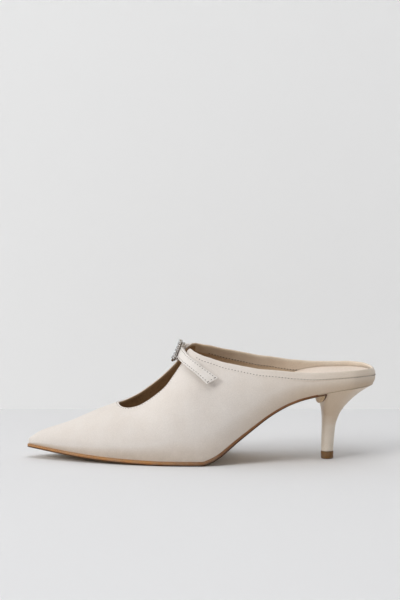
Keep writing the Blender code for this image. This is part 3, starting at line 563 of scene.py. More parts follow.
# %% Table of the sole's line
Profile = namedtuple("Profile", "x spring rise thickness")
SOLE = [
    Profile(0.000, 1.000, 0.000, 0.70),
    Profile(0.037, 0.868, 0.000, 0.74),
    Profile(0.082, 0.684, 0.000, 0.79),
    Profile(0.172, 0.368, 0.000, 0.88),
    Profile(0.265, 0.145, 0.000, 0.95),
    Profile(0.313, 0.066, 0.000, 1.00),
    Profile(0.358, 0.013, 0.000, 1.00),
    Profile(0.388, 0.000, 0.000, 1.00),
    Profile(0.444, 0.000, 0.000, 1.00),
    Profile(0.500, 0.000, 0.000, 1.00),
    Profile(0.526, 0.000, 0.038, 0.97),
    Profile(0.552, 0.000, 0.108, 0.90),
    Profile(0.603, 0.000, 0.306, 0.73),
    Profile(0.657, 0.000, 0.507, 0.57),
    Profile(0.701, 0.000, 0.659, 0.50),
    Profile(0.750, 0.000, 0.785, 0.47),
    Profile(0.795, 0.000, 0.861, 0.47),
    Profile(0.843, 0.000, 0.912, 0.47),
    Profile(0.888, 0.000, 0.949, 0.47),
    Profile(0.925, 0.000, 0.974, 0.47),
    Profile(1.000, 0.000, 1.000, 0.47),
]
print(len(SOLE), "places along the sole")

# %% Table of the opening's edge
Edge = namedtuple("Edge", "x kind lateral medial")
OPENING = [
    Edge(0.021, "open", 0.300, 0.360),
    Edge(0.052, "open", 0.395, 0.440),
    Edge(0.082, "open", 0.420, 0.475),
    Edge(0.112, "open", 0.425, 0.480),
    Edge(0.143, "open", 0.440, 0.480),
    Edge(0.183, "open", 0.468, 0.455),
    Edge(0.222, "open", 0.422, 0.387),
    Edge(0.254, "open", 0.345, 0.285),
    Edge(0.275, "high", 0.936, 0.968),
    Edge(0.298, "high", 0.918, 0.960),
    Edge(0.324, "high", 0.896, 0.946),
    Edge(0.374, "high", 0.820, 0.886),
    Edge(0.425, "high", 0.709, 0.776),
    Edge(0.485, "high", 0.580, 0.645),
    Edge(0.581, "high", 0.395, 0.450),
    Edge(0.677, "high", 0.264, 0.302),
    Edge(0.767, "high", 0.199, 0.225),
    Edge(0.863, "high", 0.171, 0.184),
    Edge(0.959, "high", 0.156, 0.163),
    Edge(1.000, "high", 0.143, 0.143),
]
print(len(OPENING), "places along the opening's edge")

# %% Tables of the footbed and the heel
Footbed = namedtuple("Footbed", "x thickness")
FOOTBED = [
    Footbed(0.000, 0.153),
    Footbed(0.276, 0.167),
    Footbed(0.500, 0.181),
    Footbed(0.552, 0.250),
    Footbed(0.604, 0.431),
    Footbed(0.657, 0.667),
    Footbed(0.716, 0.896),
    Footbed(0.780, 1.000),
    Footbed(0.840, 0.903),
    Footbed(0.910, 0.722),
    Footbed(1.000, 0.611),
]
Ring = namedtuple("Ring", "up front back width tilt")
HEEL = [
    Ring(0.00, 0.00, 0.000, 0.00, 0.00),
    Ring(0.20, -0.06, 0.022, 0.01, 0.00),
    Ring(0.38, -0.12, 0.055, 0.04, 0.02),
    Ring(0.53, -0.08, 0.140, 0.12, 0.10),
    Ring(0.66, 0.08, 0.280, 0.27, 0.30),
    Ring(0.77, 0.34, 0.455, 0.48, 0.55),
    Ring(0.87, 0.64, 0.655, 0.70, 0.80),
    Ring(0.94, 0.86, 0.830, 0.87, 0.94),
    Ring(1.00, 1.00, 1.000, 1.00, 1.00),
]
print(len(FOOTBED), "places along the footbed and", len(HEEL), "rings up the heel")

# %% Smooth curves through the tables


def smooth(xs, ys):
    """A curve through the points that stays flat where they are and doesn't overshoot."""
    slope = [(ys[k + 1] - ys[k]) / (xs[k + 1] - xs[k]) for k in range(len(xs) - 1)]
    first = 2 * slope[0] - slope[1]
    last = 2 * slope[-1] - slope[-2]
    wide = [2 * first - slope[0], first] + slope + [last, 2 * last - slope[-1]]
    lean = []
    for k in range(len(xs)):
        a, b, c, d = wide[k:k + 4]
        after = abs(d - c) + abs(d + c) / 2
        before = abs(b - a) + abs(b + a) / 2
        total = after + before
        lean.append((after * b + before * c) / total if total > 0 else 0.0)

    def curve(x):
        x = min(max(x, xs[0]), xs[-1])
        k = min(bisect_right(xs, x) - 1, len(xs) - 2)
        span = xs[k + 1] - xs[k]
        t = (x - xs[k]) / span
        start = (1 + 2 * t) * (1 - t) ** 2 * ys[k] + t * (1 - t) ** 2 * span * lean[k]
        end = t * t * (3 - 2 * t) * ys[k + 1] + t * t * (t - 1) * span * lean[k + 1]
        return start + end

    return curve


def column(rows, name, spread=lambda x: x):
    """One column of a table as a smooth curve over its first column."""
    curve = smooth([spread(row[0]) for row in rows], [getattr(row, name) for row in rows])
    return lambda share: curve(spread(share))


def round_ends(share):
    """Stretches both ends, so that an outline closes there in a round."""
    return acos(1 - 2 * min(max(share, 0.0), 1.0)) / pi


last_of = {name: column(LAST, name, round_ends) for name in Section._fields[1:]}
sole_of = {name: column(SOLE, name) for name in Profile._fields[1:]}
footbed_share = column(FOOTBED, "thickness")
heel_of = {name: column(HEEL, name) for name in Ring._fields[1:]}


print(len(last_of) + len(sole_of) + len(heel_of) + 1, "curves from the tables")

# %% The line of the sole


def share_of(x):
    """A place along the shoe as a share of its length, from the toe."""
    return x / LENGTH + 0.5


def x_of(share):
    return (share - 0.5) * LENGTH


def sole_bottom(x):
    share = share_of(x)
    return TOE_SPRING * sole_of["spring"](share) + HEEL_HEIGHT * sole_of["rise"](share)


def sole_slope(x):
    step = 0.004 * LENGTH
    return (sole_bottom(x + step) - sole_bottom(x - step)) / (2 * step)


def sole_thickness(x):
    return SOLE_THICKNESS * sole_of["thickness"](share_of(x))


@lru_cache(maxsize=None)
def sole_top(x):
    """The surface that the upper and insole stand on: the outsole, then the heel's seat."""
    return sole_bottom(x) + sole_thickness(x) * hypot(1, sole_slope(x))


print("sole at the heel", round(sole_top(LENGTH / 2) * 1000, 1), "mm up")

# %% Surface of the upper
LOWER_PART = 0.25         # share of a half section that lies under its widest point
LATERAL, MEDIAL = -1, 1   # the sides of the shoe, as the sign of y
SIDES = (LATERAL, MEDIAL)
BACK_MARGIN = 0.0012      # directions aren't measured closer to the back line than this
SEAT_X = LENGTH / 2 - SEAT_FRONT
BACK_START = 0.33         # share of the length, from the middle, where the back line starts
BACK_REACH = 0.5 - BACK_START


@lru_cache(maxsize=None)
def reach(x, side, name="lower"):
    """Distance of the section's lower edge (or widest point) from the middle line."""
    share = share_of(x)
    out = last_of["lateral" if side < 0 else "medial"](share) * HALF_BALL
    if name == "wide":
        out += last_of["bulge"](share) * UPPER_BULGE
    return out


@lru_cache(maxsize=None)
def levels_at(x):
    """The lower edge, the widest point and the ridge of one section, and the ridge's side."""
    share = share_of(x)
    low = sole_top(x) + CLEARANCE
    wide = low + INSTEP_DEPTH * last_of["bulge_height"](share)
    ridge = low + INSTEP_DEPTH * last_of["ridge"](share)
    return low, wide, ridge, HALF_BALL * last_of["ridge_side"](share)


BACK_LOW = sole_top(LENGTH / 2)
BACK_HIGH = BACK_LOW + INSTEP_DEPTH * OPENING[-1].lateral


def back_shift(x, z):
    """Draws the back line in over and under its middle height."""
    mid = (BACK_LOW + BACK_HIGH) / 2
    share = max(0.0, (x / LENGTH - BACK_START) / BACK_REACH)
    return -BACK_CURVE * share ** 2 * ((z - mid) / (BACK_HIGH - mid)) ** 2


def skin_point(x, side, t):
    """A point of the upper's outside: t runs from the lower edge (0) to the ridge (1)."""
    low, wide_z, ridge_z, ridge_y = levels_at(x)
    wide_y = side * reach(x, side, "wide")
    if t < LOWER_PART:
        turn = t / LOWER_PART
        low_y = side * reach(x, side)
        y = low_y + (wide_y - low_y) * sin(turn * pi / 2)
        z = low + (wide_z - low) * turn
    else:
        turn = (t - LOWER_PART) / (1 - LOWER_PART) * pi / 2
        y = ridge_y + (wide_y - ridge_y) * cos(turn)
        z = wide_z + (ridge_z - wide_z) * sin(turn)
    return Vector((x + back_shift(x, z), y, z))


def side_point(x, across):
    """A point of the outside by one number: -1 lateral edge, 0 ridge, 1 medial edge."""
    return skin_point(x, LATERAL if across < 0 else MEDIAL, 1 - abs(across))


def side_normal(x, across):
    step = 0.001
    along = side_point(x + step, across) - side_point(x - step, across)
    over = side_point(x, across + step) - side_point(x, across - step)
    return along.cross(over).normalized()


middle_top = skin_point(0.0, LATERAL, 1.0)
print("the ridge at the middle is", round(middle_top.z * 1000, 1), "mm up")

# %% The edge of the opening


def turn_at(x, side, axis, value):
    """Finds t where the upper part of a half section meets a half width or a height."""
    low, high = LOWER_PART, 1.0
    for _ in range(40):
        t = (low + high) / 2
        point = skin_point(x, side, t)
        passed = side * point.y < value if axis == "open" else point.z > value
        low, high = (low, t) if passed else (t, high)
    return (low + high) / 2


def opening_curve(side):
    """How far up its section the opening's edge lies, along the shoe."""
    xs, turns = [0.0], [1.0]
    for row in OPENING:
        x = x_of(THROAT_TIP + row.x * (1 - THROAT_TIP))
        value = row.lateral if side < 0 else row.medial
        if row.kind == "open":
            turns.append(turn_at(x, side, "open", value * HALF_BALL))
        else:
            turns.append(turn_at(x, side, "high", sole_top(x) + value * INSTEP_DEPTH))
        xs.append(sqrt(row.x))
    curve = smooth(xs, turns)
    return lambda x: curve(sqrt(max(0.0, (share_of(x) - THROAT_TIP) / (1 - THROAT_TIP))))


opening = {side: opening_curve(side) for side in SIDES}
print("opening's lowest turn", round(opening[LATERAL](x_of(0.99)), 3))

# %% [markdown]
# Sewn and folded edges run at an even distance from the opening's edge. So this cell walks along
# that edge, finds the direction into the opening at each spot, and steps back by the distance
# asked for. The result is again a curve over the length, for the rim and for rows of stitches.

# %% Lines that run beside the opening's edge
TIP_X = x_of(THROAT_TIP)
EDGE_REACH = sqrt(LENGTH / 2 - TIP_X)
OPEN_UNTIL = 0.459        # up to here the edge is found by its half width, behind by its height


def edge_spot(side, way):
    """A point on the opening's edge; way squared is the distance behind the throat's tip."""
    if way < 0:
        side, way = -side, -way
    x = TIP_X + min(way, EDGE_REACH) ** 2
    return skin_point(x, side, opening[side](x))


def edge_frame(side, way):
    """A point on the edge, and the direction from it into the opening."""
    step = EDGE_REACH / 400
    x = TIP_X + way ** 2
    along = edge_spot(side, way + step) - edge_spot(side, way - step)
    out = side_normal(min(x, LENGTH / 2 - BACK_MARGIN), side * (1 - opening[side](x)))
    into = out.cross(along) if side < 0 else along.cross(out)
    return x, edge_spot(side, way), into.normalized()


def inset_curve(side, distance, count=48):
    """How far up its section a line lies that keeps this distance from the edge."""
    xs, turns = [], []
    for k in range(count + 1):
        x, point, into = edge_frame(side, EDGE_REACH * k / count)
        spot = point - into * distance
        place = min(x - into.x * distance, LENGTH / 2)
        if share_of(place) < OPEN_UNTIL:
            turn = turn_at(place, side, "open", side * spot.y)
        else:
            turn = turn_at(place, side, "high", spot.z)
        if not xs or place > xs[-1] + 1e-5:
            xs.append(place)
            turns.append(turn)
    front = xs[0]
    curve = smooth([sqrt(x - front) for x in xs], turns)
    return front, lambda x: curve(sqrt(max(0.0, x - front)))


RIM = 0.0008              # how far the rounded rim stands past the flat of the wall
rim_line = {side: inset_curve(side, RIM) for side in SIDES}
print("rim starts at", round(rim_line[LATERAL][0] * 1000, 2), "mm")

# %% [markdown]
# Every piece below is built in the same few steps: places along the shoe, rings of points at those
# places, faces between the rings, then a finish and a name. Blender's bmesh builds such a mesh
# point by point, which suits shapes that are worked out from sizes better than modifiers do.

# %% Helpers: places along a line


def spaced(start, end, count, ease="even"):
    """Positions from start up to, but not including, end; eased ones lie close at one end."""
    steps = [k / count for k in range(count)]
    if ease == "start":
        steps = [1 - cos(s * pi / 2) for s in steps]
    if ease == "end":
        steps = [sin(s * pi / 2) for s in steps]
    if ease == "square":
        steps = [s * s for s in steps]
    return [start + (end - start) * s for s in steps]


def stations(start, *runs):
    """Places along the shoe: each run gives its end, how many places it has and its easing."""
    places = []
    for end, count, *ease in runs:
        places += spaced(start, end, count, *ease)
        start = end
    return places + [start]


def marks_along(points):
    """How far along a line each of its points lies."""
    marks = [0.0]
    for a, b in zip(points, points[1:]):
        marks.append(marks[-1] + (b - a).length)
    return marks


def find_mark(marks, mark):
    """The stretch of a line that holds a mark, and the mark's share of that stretch."""
    k = min(max(bisect_right(marks, mark) - 1, 0), len(marks) - 2)
    return k, (mark - marks[k]) / (marks[k + 1] - marks[k])


print("four eased steps:", [round(place, 2) for place in stations(0.0, (1.0, 4, "end"))])

# %% Helpers: pieces and faces


def dress(name, bm, finishes, replaced=(), sharp=50):
    """Makes a piece of the scene from a bmesh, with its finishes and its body."""
    bmesh.ops.recalc_face_normals(bm, faces=bm.faces)
    mesh = bpy.data.meshes.new(name)
    bm.to_mesh(mesh)
    bm.free()
    mesh.shade_smooth()
    mesh.set_sharp_from_angle(angle=radians(sharp))
    for finish in finishes:
        mesh.materials.append(finish_of[finish])
    piece = bpy.data.objects.new(name, mesh)
    bpy.context.scene.collection.objects.link(piece)
    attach(piece, "root")
    for node in replaced:
        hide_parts(node)
    print(name, len(mesh.polygons), "faces")
    return piece


def join_rings(bm, rings, closed=True, finish=0):
    """Joins rings of points, one after the other, with four-sided faces."""
    faces = []
    for low, high in zip(rings, rings[1:]):
        count = len(low)
        for k in range(count if closed else count - 1):
            n = (k + 1) % count
            face = bm.faces.new((low[k], low[n], high[n], high[k]))
            face.material_index = finish
            faces.append(face)
    return faces


print("finishes ready for the pieces:", ", ".join(finish_of))

# %% [markdown]
# The upper is the pointed suede shell. On the real shoe it is suede over a thin lining, pulled
# over the last, with the edge turned in and a facing stitched round the collar. It could be a
# subdivided cage, but then its edges would drift from the model. Here each section is worked out
# from the last, outside and inside, and a half-round rim joins the two sheets at the opening.

# %% Upper: rows up each section
SOLID_TOE = 0.030         # share of the length up to which the toe is solid
TOP_SHARE = 0.3           # the collar rows take at most this share of a short section
LOWER_ROWS = 24
BAND_ROWS = 5
STEP_WIDTH = 0.0016       # width of the slope up to the facing
SOFT_STEP = 0.00018       # how far the facing of thin suede stands proud of the shell
BETWEEN_ROWS = 3          # rows between the facing's edge inside and its edge outside
LINED_ROWS = LOWER_ROWS + BETWEEN_ROWS
RIM_STEPS = 6
FACING_INSIDE = 0.0004    # how far the facing stands proud inside
INSIDE_BAND = (0.0098, 0.0062)     # the facing's width inside, at the instep and at the heel
INSIDE_NARROWS = (0.64, 0.80)      # share of the length where it goes from one to the other
INSIDE_LIMIT = 1.6        # it is never wider than this many widths of the facing outside
FACING_FROM = 0.475       # share of the length where the facing starts to rise
FACING_RISE = 0.03        # and the share over which it does


def upper_stations():
    tip = share_of(rim_line[LATERAL][0])
    shares = stations(0.0, (SOLID_TOE, 9, "start"), (tip, 30), (0.330, 18, "square"),
                      (0.440, 14), (0.500, 12), (0.860, 44), (1.0, 24, "end"))
    return [x_of(share) for share in shares]


def section_walk(x, side, top, count=80):
    """Fine points up one half section with their distance from the lower edge."""
    fine = [skin_point(x, side, top * k / count) for k in range(count + 1)]
    length = [0.0]
    for a, b in zip(fine, fine[1:]):
        length.append(length[-1] + hypot(b.y - a.y, b.z - a.z))
    return fine, length


def walk_to(walk, mark):
    fine, length = walk
    k, share = find_mark(length, mark)
    return fine[k].lerp(fine[k + 1], share)


def section_rows(x, side):
    """Points up one half section, with the last rows in the collar facing."""
    front, turn = rim_line[side]
    walk = section_walk(x, side, turn(x) if x > front else 1.0)
    whole = walk[1][-1]
    band = min(BAND_WIDTH - RIM, TOP_SHARE * whole)
    start, end = INSIDE_NARROWS
    rear = min(max((share_of(x) - start) / (end - start), 0.0), 1.0)
    inside = INSIDE_BAND[0] + (INSIDE_BAND[1] - INSIDE_BAND[0]) * rear
    inside = min(max(inside, band + 2 * STEP_WIDTH), INSIDE_LIMIT * band)
    below = whole - inside
    foot = whole - band - min(STEP_WIDTH, 0.1 * band)
    marks = [below * k / LOWER_ROWS for k in range(LOWER_ROWS + 1)]
    marks += [below + (foot - below) * k / BETWEEN_ROWS for k in range(1, BETWEEN_ROWS + 1)]
    marks += [whole - band + band * k / BAND_ROWS for k in range(BAND_ROWS + 1)]
    return [walk_to(walk, mark) for mark in marks]


def facing_share(x):
    """The collar facing rises out of the wall just behind the throat's corners."""
    return min(max((share_of(x) - FACING_FROM) / FACING_RISE, 0.0), 1.0)


print(len(upper_stations()), "sections along the upper")

# %% [markdown]
# Worn and handled suede is never quite even. A few shallow hollows and swells, placed where the
# foot bends and where the strap pulls, keep the shell from looking moulded.

# %% Upper: soft hollows and swells
SOFT_ENDS = 9.0           # beyond three of its own sizes a soft place is nought
Soft = namedtuple("Soft", "along side height length width tilt depth")
SOFT = [
    Soft(0.395, LATERAL, 0.34, 0.030, 0.007, 0.5, -0.00030),
    Soft(0.430, LATERAL, 0.52, 0.024, 0.006, 0.7, -0.00026),
    Soft(0.470, LATERAL, 0.40, 0.030, 0.010, 0.3, 0.00022),
    Soft(0.600, LATERAL, 0.30, 0.040, 0.009, 0.5, -0.00022),
    Soft(0.330, LATERAL, 0.22, 0.028, 0.008, 0.2, -0.00022),
    Soft(0.400, MEDIAL, 0.36, 0.030, 0.007, 0.5, -0.00034),
    Soft(0.445, MEDIAL, 0.50, 0.026, 0.007, 0.6, -0.00028),
    Soft(0.610, MEDIAL, 0.30, 0.040, 0.010, 0.4, -0.00024),
]


def softness(point, side):
    """How far the suede lies out (or in, below nought) at a point of the upper."""
    total = 0.0
    for soft in SOFT:
        if soft.side != side:
            continue
        dx = point.x - x_of(soft.along)
        dz = point.z - (sole_top(point.x) + INSTEP_DEPTH * soft.height)
        along = dx * cos(soft.tilt) - dz * sin(soft.tilt)
        over = dx * sin(soft.tilt) + dz * cos(soft.tilt)
        near = (along / soft.length) ** 2 + (over / soft.width) ** 2
        if near < SOFT_ENDS:
            total += soft.depth * exp(-near)
    return total


print(len(SOFT), "soft places")

# %% [markdown]
# The shell itself is two sheets of faces with the wall between them. The outer one comes straight
# from the sections. The inner one lies a wall's thickness behind it, along each point's own
# direction, as leather of even thickness does. A solidify modifier could do that too, but it
# couldn't keep the lower edge flat on the sole or make the facing inside a little thicker.

# %% Upper: the outer and the inner sheet
UPPER_FINISHES = ["suede", "lining_leather", "facing_suede", "lit_quarter_lining"]
# the lit quarter lining is the lining leather painted paler, as painted light
SUEDE, LINING, FACING, LIT_QUARTER = range(4)
ROW_RISE = 0.00006        # each row inside lies at least this much over the one below
Shell = namedtuple("Shell", "xs outer inner normal hollow tip top back")


def outer_sheet(bm, xs, tip):
    """Points by side, section and row; both sides share the toe, the ridge and the back line."""
    rows = {side: [section_rows(x, side) for x in xs] for side in SIDES}
    top, back = len(rows[MEDIAL][0]) - 1, len(xs) - 1
    outer = {}
    for i in range(back + 1):
        for j in range(top + 1):
            shared = i in (0, back) or (j == top and i <= tip)
            outer[LATERAL, i, j] = bm.verts.new(rows[LATERAL][i][j])
            outer[MEDIAL, i, j] = outer[LATERAL, i, j]
            if not shared:
                outer[MEDIAL, i, j] = bm.verts.new(rows[MEDIAL][i][j])
    for side in SIDES:
        for i in range(back):
            for j in range(top):
                ring = [outer[side, i, j], outer[side, i + 1, j],
                        outer[side, i + 1, j + 1], outer[side, i, j + 1]]
                bm.faces.new(ring if side == LATERAL else ring[::-1])
    return outer, top, back


def own_point(outer, side, i, j):
    """True for each point once: a shared one counts for the lateral side."""
    return side == LATERAL or outer[MEDIAL, i, j] is not outer[LATERAL, i, j]


def inner_sheet(bm, xs, outer, normal, hollow, top):
    inner = {}
    for i in range(hollow, len(xs)):
        proud = FACING_INSIDE * facing_share(xs[i])
        low = sole_top(xs[i]) + CLEARANCE
        for j in range(top + 1):
            for side in SIDES:
                if not own_point(outer, side, i, j):
                    inner[side, i, j] = inner[LATERAL, i, j]
                    continue
                depth = WALL + (proud if LOWER_ROWS < j < top else 0.0)
                point = outer[side, i, j].co - depth * normal[side, i, j]
                point.z = low if j == 0 else max(point.z, low + j * ROW_RISE)
                inner[side, i, j] = bm.verts.new(point)
    return inner


def start_shell(bm):
    xs = upper_stations()
    tip = max(k for k, x in enumerate(xs) if x <= rim_line[LATERAL][0] + 1e-7)
    hollow = min(k for k, x in enumerate(xs) if share_of(x) >= SOLID_TOE)
    outer, top, back = outer_sheet(bm, xs, tip)
    bm.normal_update()
    normal = {key: vert.normal.copy() for key, vert in outer.items()}
    inner = inner_sheet(bm, xs, outer, normal, hollow, top)
    return Shell(xs, outer, inner, normal, hollow, tip, top, back)


print("the upper's finishes:", ", ".join(UPPER_FINISHES))

# %% [markdown]
# Now the sheets get their details. The outside is moved by its soft places and by the low step of
# the facing. The inside is lined in leather in front, and behind in the same leather painted paler
# as painted light, with a suede facing along the edge, and both sheets are joined along the bottom
# and in the closed toe.

# %% Upper: the step, the lining and the toe


def shape_outside(shell):
    for i, x in enumerate(shell.xs):
        step = SOFT_STEP * facing_share(x)
        for j in range(1, shell.top + 1):
            for side in SIDES:
                if own_point(shell.outer, side, i, j):
                    vert = shell.outer[side, i, j]
                    out = softness(vert.co, side) if 0 < i < shell.back else 0.0
                    out += step if j > LINED_ROWS else 0.0
                    vert.co += out * shell.normal[side, i, j]


def line_inside(bm, shell):
    """The faces inside, and those that close the wall's lower edge."""
    outer, inner = shell.outer, shell.inner
    for side in SIDES:
        for i in range(shell.hollow, shell.back):
            behind = facing_share(shell.xs[i]) > 0
            for j in range(shell.top):
                ring = [inner[side, i, j], inner[side, i, j + 1],
                        inner[side, i + 1, j + 1], inner[side, i + 1, j]]
                face = bm.faces.new(ring if side == LATERAL else ring[::-1])
                in_facing = j >= LOWER_ROWS and (behind or j >= shell.top - 2)
                face.material_index = FACING if in_facing else LIT_QUARTER if behind else LINING
            bm.faces.new((outer[side, i, 0], inner[side, i, 0],
                          inner[side, i + 1, 0], outer[side, i + 1, 0]))


def close_toe(bm, shell):
    """The flat under the solid toe, and the end of the hollow behind it."""
    outer, inner, hollow = shell.outer, shell.inner, shell.hollow
    for i in range(hollow):
        ring = [outer[LATERAL, i, 0], outer[LATERAL, i + 1, 0], outer[MEDIAL, i + 1, 0]]
        bm.faces.new(ring if i == 0 else ring + [outer[MEDIAL, i, 0]])
    bm.faces.new((outer[LATERAL, hollow, 0], inner[LATERAL, hollow, 0],
                  inner[MEDIAL, hollow, 0], outer[MEDIAL, hollow, 0]))
    for j in range(shell.top):
        ring = [inner[LATERAL, hollow, j], inner[LATERAL, hollow, j + 1]]
        ring += [inner[MEDIAL, hollow, j + 1]] if j + 1 < shell.top else []
        face = bm.faces.new(ring + [inner[MEDIAL, hollow, j]])
        face.material_index = LINING


print("the facing rises", round(SOFT_STEP * 1000, 2), "mm over", STEP_WIDTH * 1000, "mm")

# %% [markdown]
# The edge of the opening is suede turned in over the lining, so it is round and never sharp. A
# bevel would eat into both sheets. Here half a circle of faces is laid over the gap between them,
# all the way round the throat and the collar. Its inner half wears the facing's suede.

# %% Upper: the rim, and the whole piece


def round_rim(bm, shell):
    outer, inner, top = shell.outer, shell.inner, shell.top
    loop = [(LATERAL, i) for i in range(shell.back, shell.tip - 1, -1)]
    loop += [(MEDIAL, i) for i in range(shell.tip + 1, shell.back)]
    arcs = []
    for n, (side, i) in enumerate(loop):
        before, after = loop[n - 1], loop[(n + 1) % len(loop)]
        a, b = outer[side, i, top].co, inner[side, i, top].co
        along = outer[after[0], after[1], top].co - outer[before[0], before[1], top].co
        into = along.cross(a - b).normalized()
        middle, half = (a + b) / 2, (a - b) / 2
        arc = [outer[side, i, top]]
        for k in range(1, RIM_STEPS):
            turn = pi * k / RIM_STEPS
            arc.append(bm.verts.new(middle + half * cos(turn) + into * RIM * sin(turn)))
        arcs.append(arc + [inner[side, i, top]])
    for n, face in enumerate(join_rings(bm, arcs + [arcs[0]], closed=False)):
        face.material_index = FACING if n % RIM_STEPS >= RIM_STEPS // 2 else SUEDE


INSIDE_ROW_FROM = 0.52    # share of the length where the stitches inside the facing start


def facing_seam(shell):
    """Where the facing is stitched to the lining inside, from one side round to the other."""
    first = min(k for k, x in enumerate(shell.xs) if share_of(x) > INSIDE_ROW_FROM)
    row = [(MEDIAL, i) for i in range(first, shell.back)]
    row += [(LATERAL, i) for i in range(shell.back, first - 1, -1)]
    level = LOWER_ROWS + 1
    return [(shell.inner[side, i, level].co.copy(), -shell.normal[side, i, level])
            for side, i in row]


def make_upper():
    bm = bmesh.new()
    shell = start_shell(bm)
    shape_outside(shell)
    line_inside(bm, shell)
    close_toe(bm, shell)
    round_rim(bm, shell)
    seam = facing_seam(shell)
    return dress("suede_upper", bm, UPPER_FINISHES, ["upper"]), seam


suede_upper, inside_seam = make_upper()

# %% [markdown]
# The heel is a moulded block covered in smooth leather, wide under the seat and waisted to a small
# shaft. It can't be turned like a table leg, because none of its sections is round. Rings worked
# out from the model's table describe it instead, and many of them one over another make it smooth.
# The walking piece under it is a harder block with its edges rounded.

# %% Heel: its rings
SEAT_CORNER = 0.22        # share of the seat's length over which its front is rounded
CHAIN = 28                # points along each side of a ring


@lru_cache(maxsize=None)
def heel_ring(up, count=CHAIN):
    """One ring of the heel as two chains of points, front to back, lateral and medial."""
    level = {name: curve(up) for name, curve in heel_of.items()}
    seat_back = LENGTH / 2 - BACK_CURVE
    shaft_front = SEAT_X + SHAFT_SET_BACK
    shaft_back = shaft_front + SHAFT_LENGTH
    front = shaft_front + (SEAT_X - shaft_front) * level["front"]
    back = shaft_back + (seat_back - shaft_back) * level["back"]
    low = TOP_PIECE_HEIGHT + CLEARANCE
    flat_z = low + (sole_top(seat_back) - low) * up
    chains = {}
    for side in SIDES:
        chain = []
        for k in range(count + 1):
            u = (1 - cos(pi * k / count)) / 2
            x = front + u * (back - front)
            seat_x = SEAT_X + u * (seat_back - SEAT_X)
            outline_x = x_of(min(1.0, share_of(seat_x) + u * u * BACK_CURVE / LENGTH))
            corner = sqrt(max(0.0, 1 - max(0.0, 1 - u / SEAT_CORNER) ** 2))
            seat_y = reach(outline_x, side) * corner
            shaft_y = SHAFT_WIDTH / 2 * sin(pi * k / count)
            y = shaft_y + (seat_y - shaft_y) * level["width"]
            drop = sole_top(seat_back) - sole_top(seat_x)
            chain.append(Vector((x, side * y, flat_z - drop * level["tilt"])))
        chains[side] = chain
    return chains


print("the heel's foot is", round((heel_ring(0.0)[MEDIAL][-1].x - heel_ring(0.0)[MEDIAL][0].x)
                                 * 1000, 1), "mm long")

# %% Heel and top piece: the solids


def ring_solid(rings):
    """Joins rings of paired chains, closed at both ends by strips across."""
    bm = bmesh.new()
    last = len(rings[0][MEDIAL]) - 1
    loops = []
    for ring in rings:
        left = [bm.verts.new(p) for p in ring[LATERAL]]
        right = [bm.verts.new(p) for p in ring[MEDIAL][1:last]]
        loops.append(left + right[::-1])
    join_rings(bm, loops)
    for loop in (loops[0], loops[-1]):
        left, right = loop[:last + 1], [loop[0]] + loop[:last:-1] + [loop[last]]
        for k in range(last):
            ring = [left[k], left[k + 1]]
            ring += [right[k + 1]] if k + 1 < last else []
            ring += [right[k]] if k > 0 else []
            bm.faces.new(ring)
    return bm


def sized_ring(ring, size, height=None):
    """A ring drawn in or let out about its middle, and laid flat if a height is given."""
    middle = (ring[MEDIAL][0] + ring[MEDIAL][-1]) / 2
    return {side: [Vector((middle.x + (p.x - middle.x) * size, p.y * size,
                           p.z if height is None else height)) for p in ring[side]]
            for side in SIDES}


FOOT_CHAMFER = {0.0: 0.97, 0.004: 0.99}      # size of the heel's lowest rings
TopRing = namedtuple("TopRing", "height size")
TOP_PIECE = [
    TopRing(0.0000, 0.900),
    TopRing(0.0002, 0.955),
    TopRing(0.0006, 1.000),
    TopRing(0.0020, 1.012),
    TopRing(0.0038, 1.020),
    TopRing(TOP_PIECE_HEIGHT - 0.0005, 1.024),
    TopRing(TOP_PIECE_HEIGHT - 0.0001, 1.010),
    TopRing(TOP_PIECE_HEIGHT, 0.970),
]


def make_heel():
    ups = [0.0, 0.004, 0.012] + [0.03 + 0.95 * k / 48 for k in range(49)] + [0.99, 0.996, 1.0]
    rings = [sized_ring(heel_ring(up), FOOT_CHAMFER.get(up, 1.0)) for up in ups]
    return dress("covered_heel", ring_solid(rings), ["heel_leather"], ["heel"])


def make_top_piece():
    rings = [sized_ring(heel_ring(0.0), row.size, row.height) for row in TOP_PIECE]
    return dress("walking_piece", ring_solid(rings), ["top_piece_rubber"],
                 ["top_piece"])


covered_heel = make_heel()
walking_piece = make_top_piece()

# %% [markdown]
# The outsole is a thin leather sole with a dyed and polished edge. At the waist it rises steeply,
# and its rear end turns down over the front of the heel as a short rounded flap. A flat sheet with
# a thickness would have square edges all round. A plate swept along the sole's line has them
# rounded on top and bevelled below. The flap follows the heel's own rings.

# %% Outsole: sizes
COLUMNS = 20
REAR_GAP = 0.0022         # the last flat section's distance from the heel's seat
WRAP_FROM = x_of(0.7)     # behind here the sole bends round the front of the heel
TOE_UNTIL = x_of(0.1)     # up to here the sole lies about the toe's own middle
Flap = namedtuple("Flap", "up width")
FLAP = [
    Flap(0.982, 0.985),
    Flap(0.965, 0.985),
    Flap(0.945, 0.983),
    Flap(0.925, 0.980),
    Flap(0.905, 0.970),
    Flap(0.885, 0.955),
    Flap(0.867, 0.930),
    Flap(0.850, 0.890),
    Flap(0.836, 0.820),
    Flap(0.824, 0.710),
    Flap(0.815, 0.550),
]
FLAP_TILT = radians(20)
FLAP_GAP = CLEARANCE * 2.2
EDGE_ROUND = 0.0005
CORNER_POINTS = 4         # points round each of an edge's two corners
EDGE_POINTS = 2 * CORNER_POINTS
UNDER_BEVEL = 0.60        # share of the edge's height that is bevelled
# from this point down, the edge takes dark dye with painted shade
DARK_FROM = 5             # the dark dye starts at this point of the edge, counted from its top


print("the flap is", len(FLAP), "rings of the heel long")

# %% Outsole: its sections


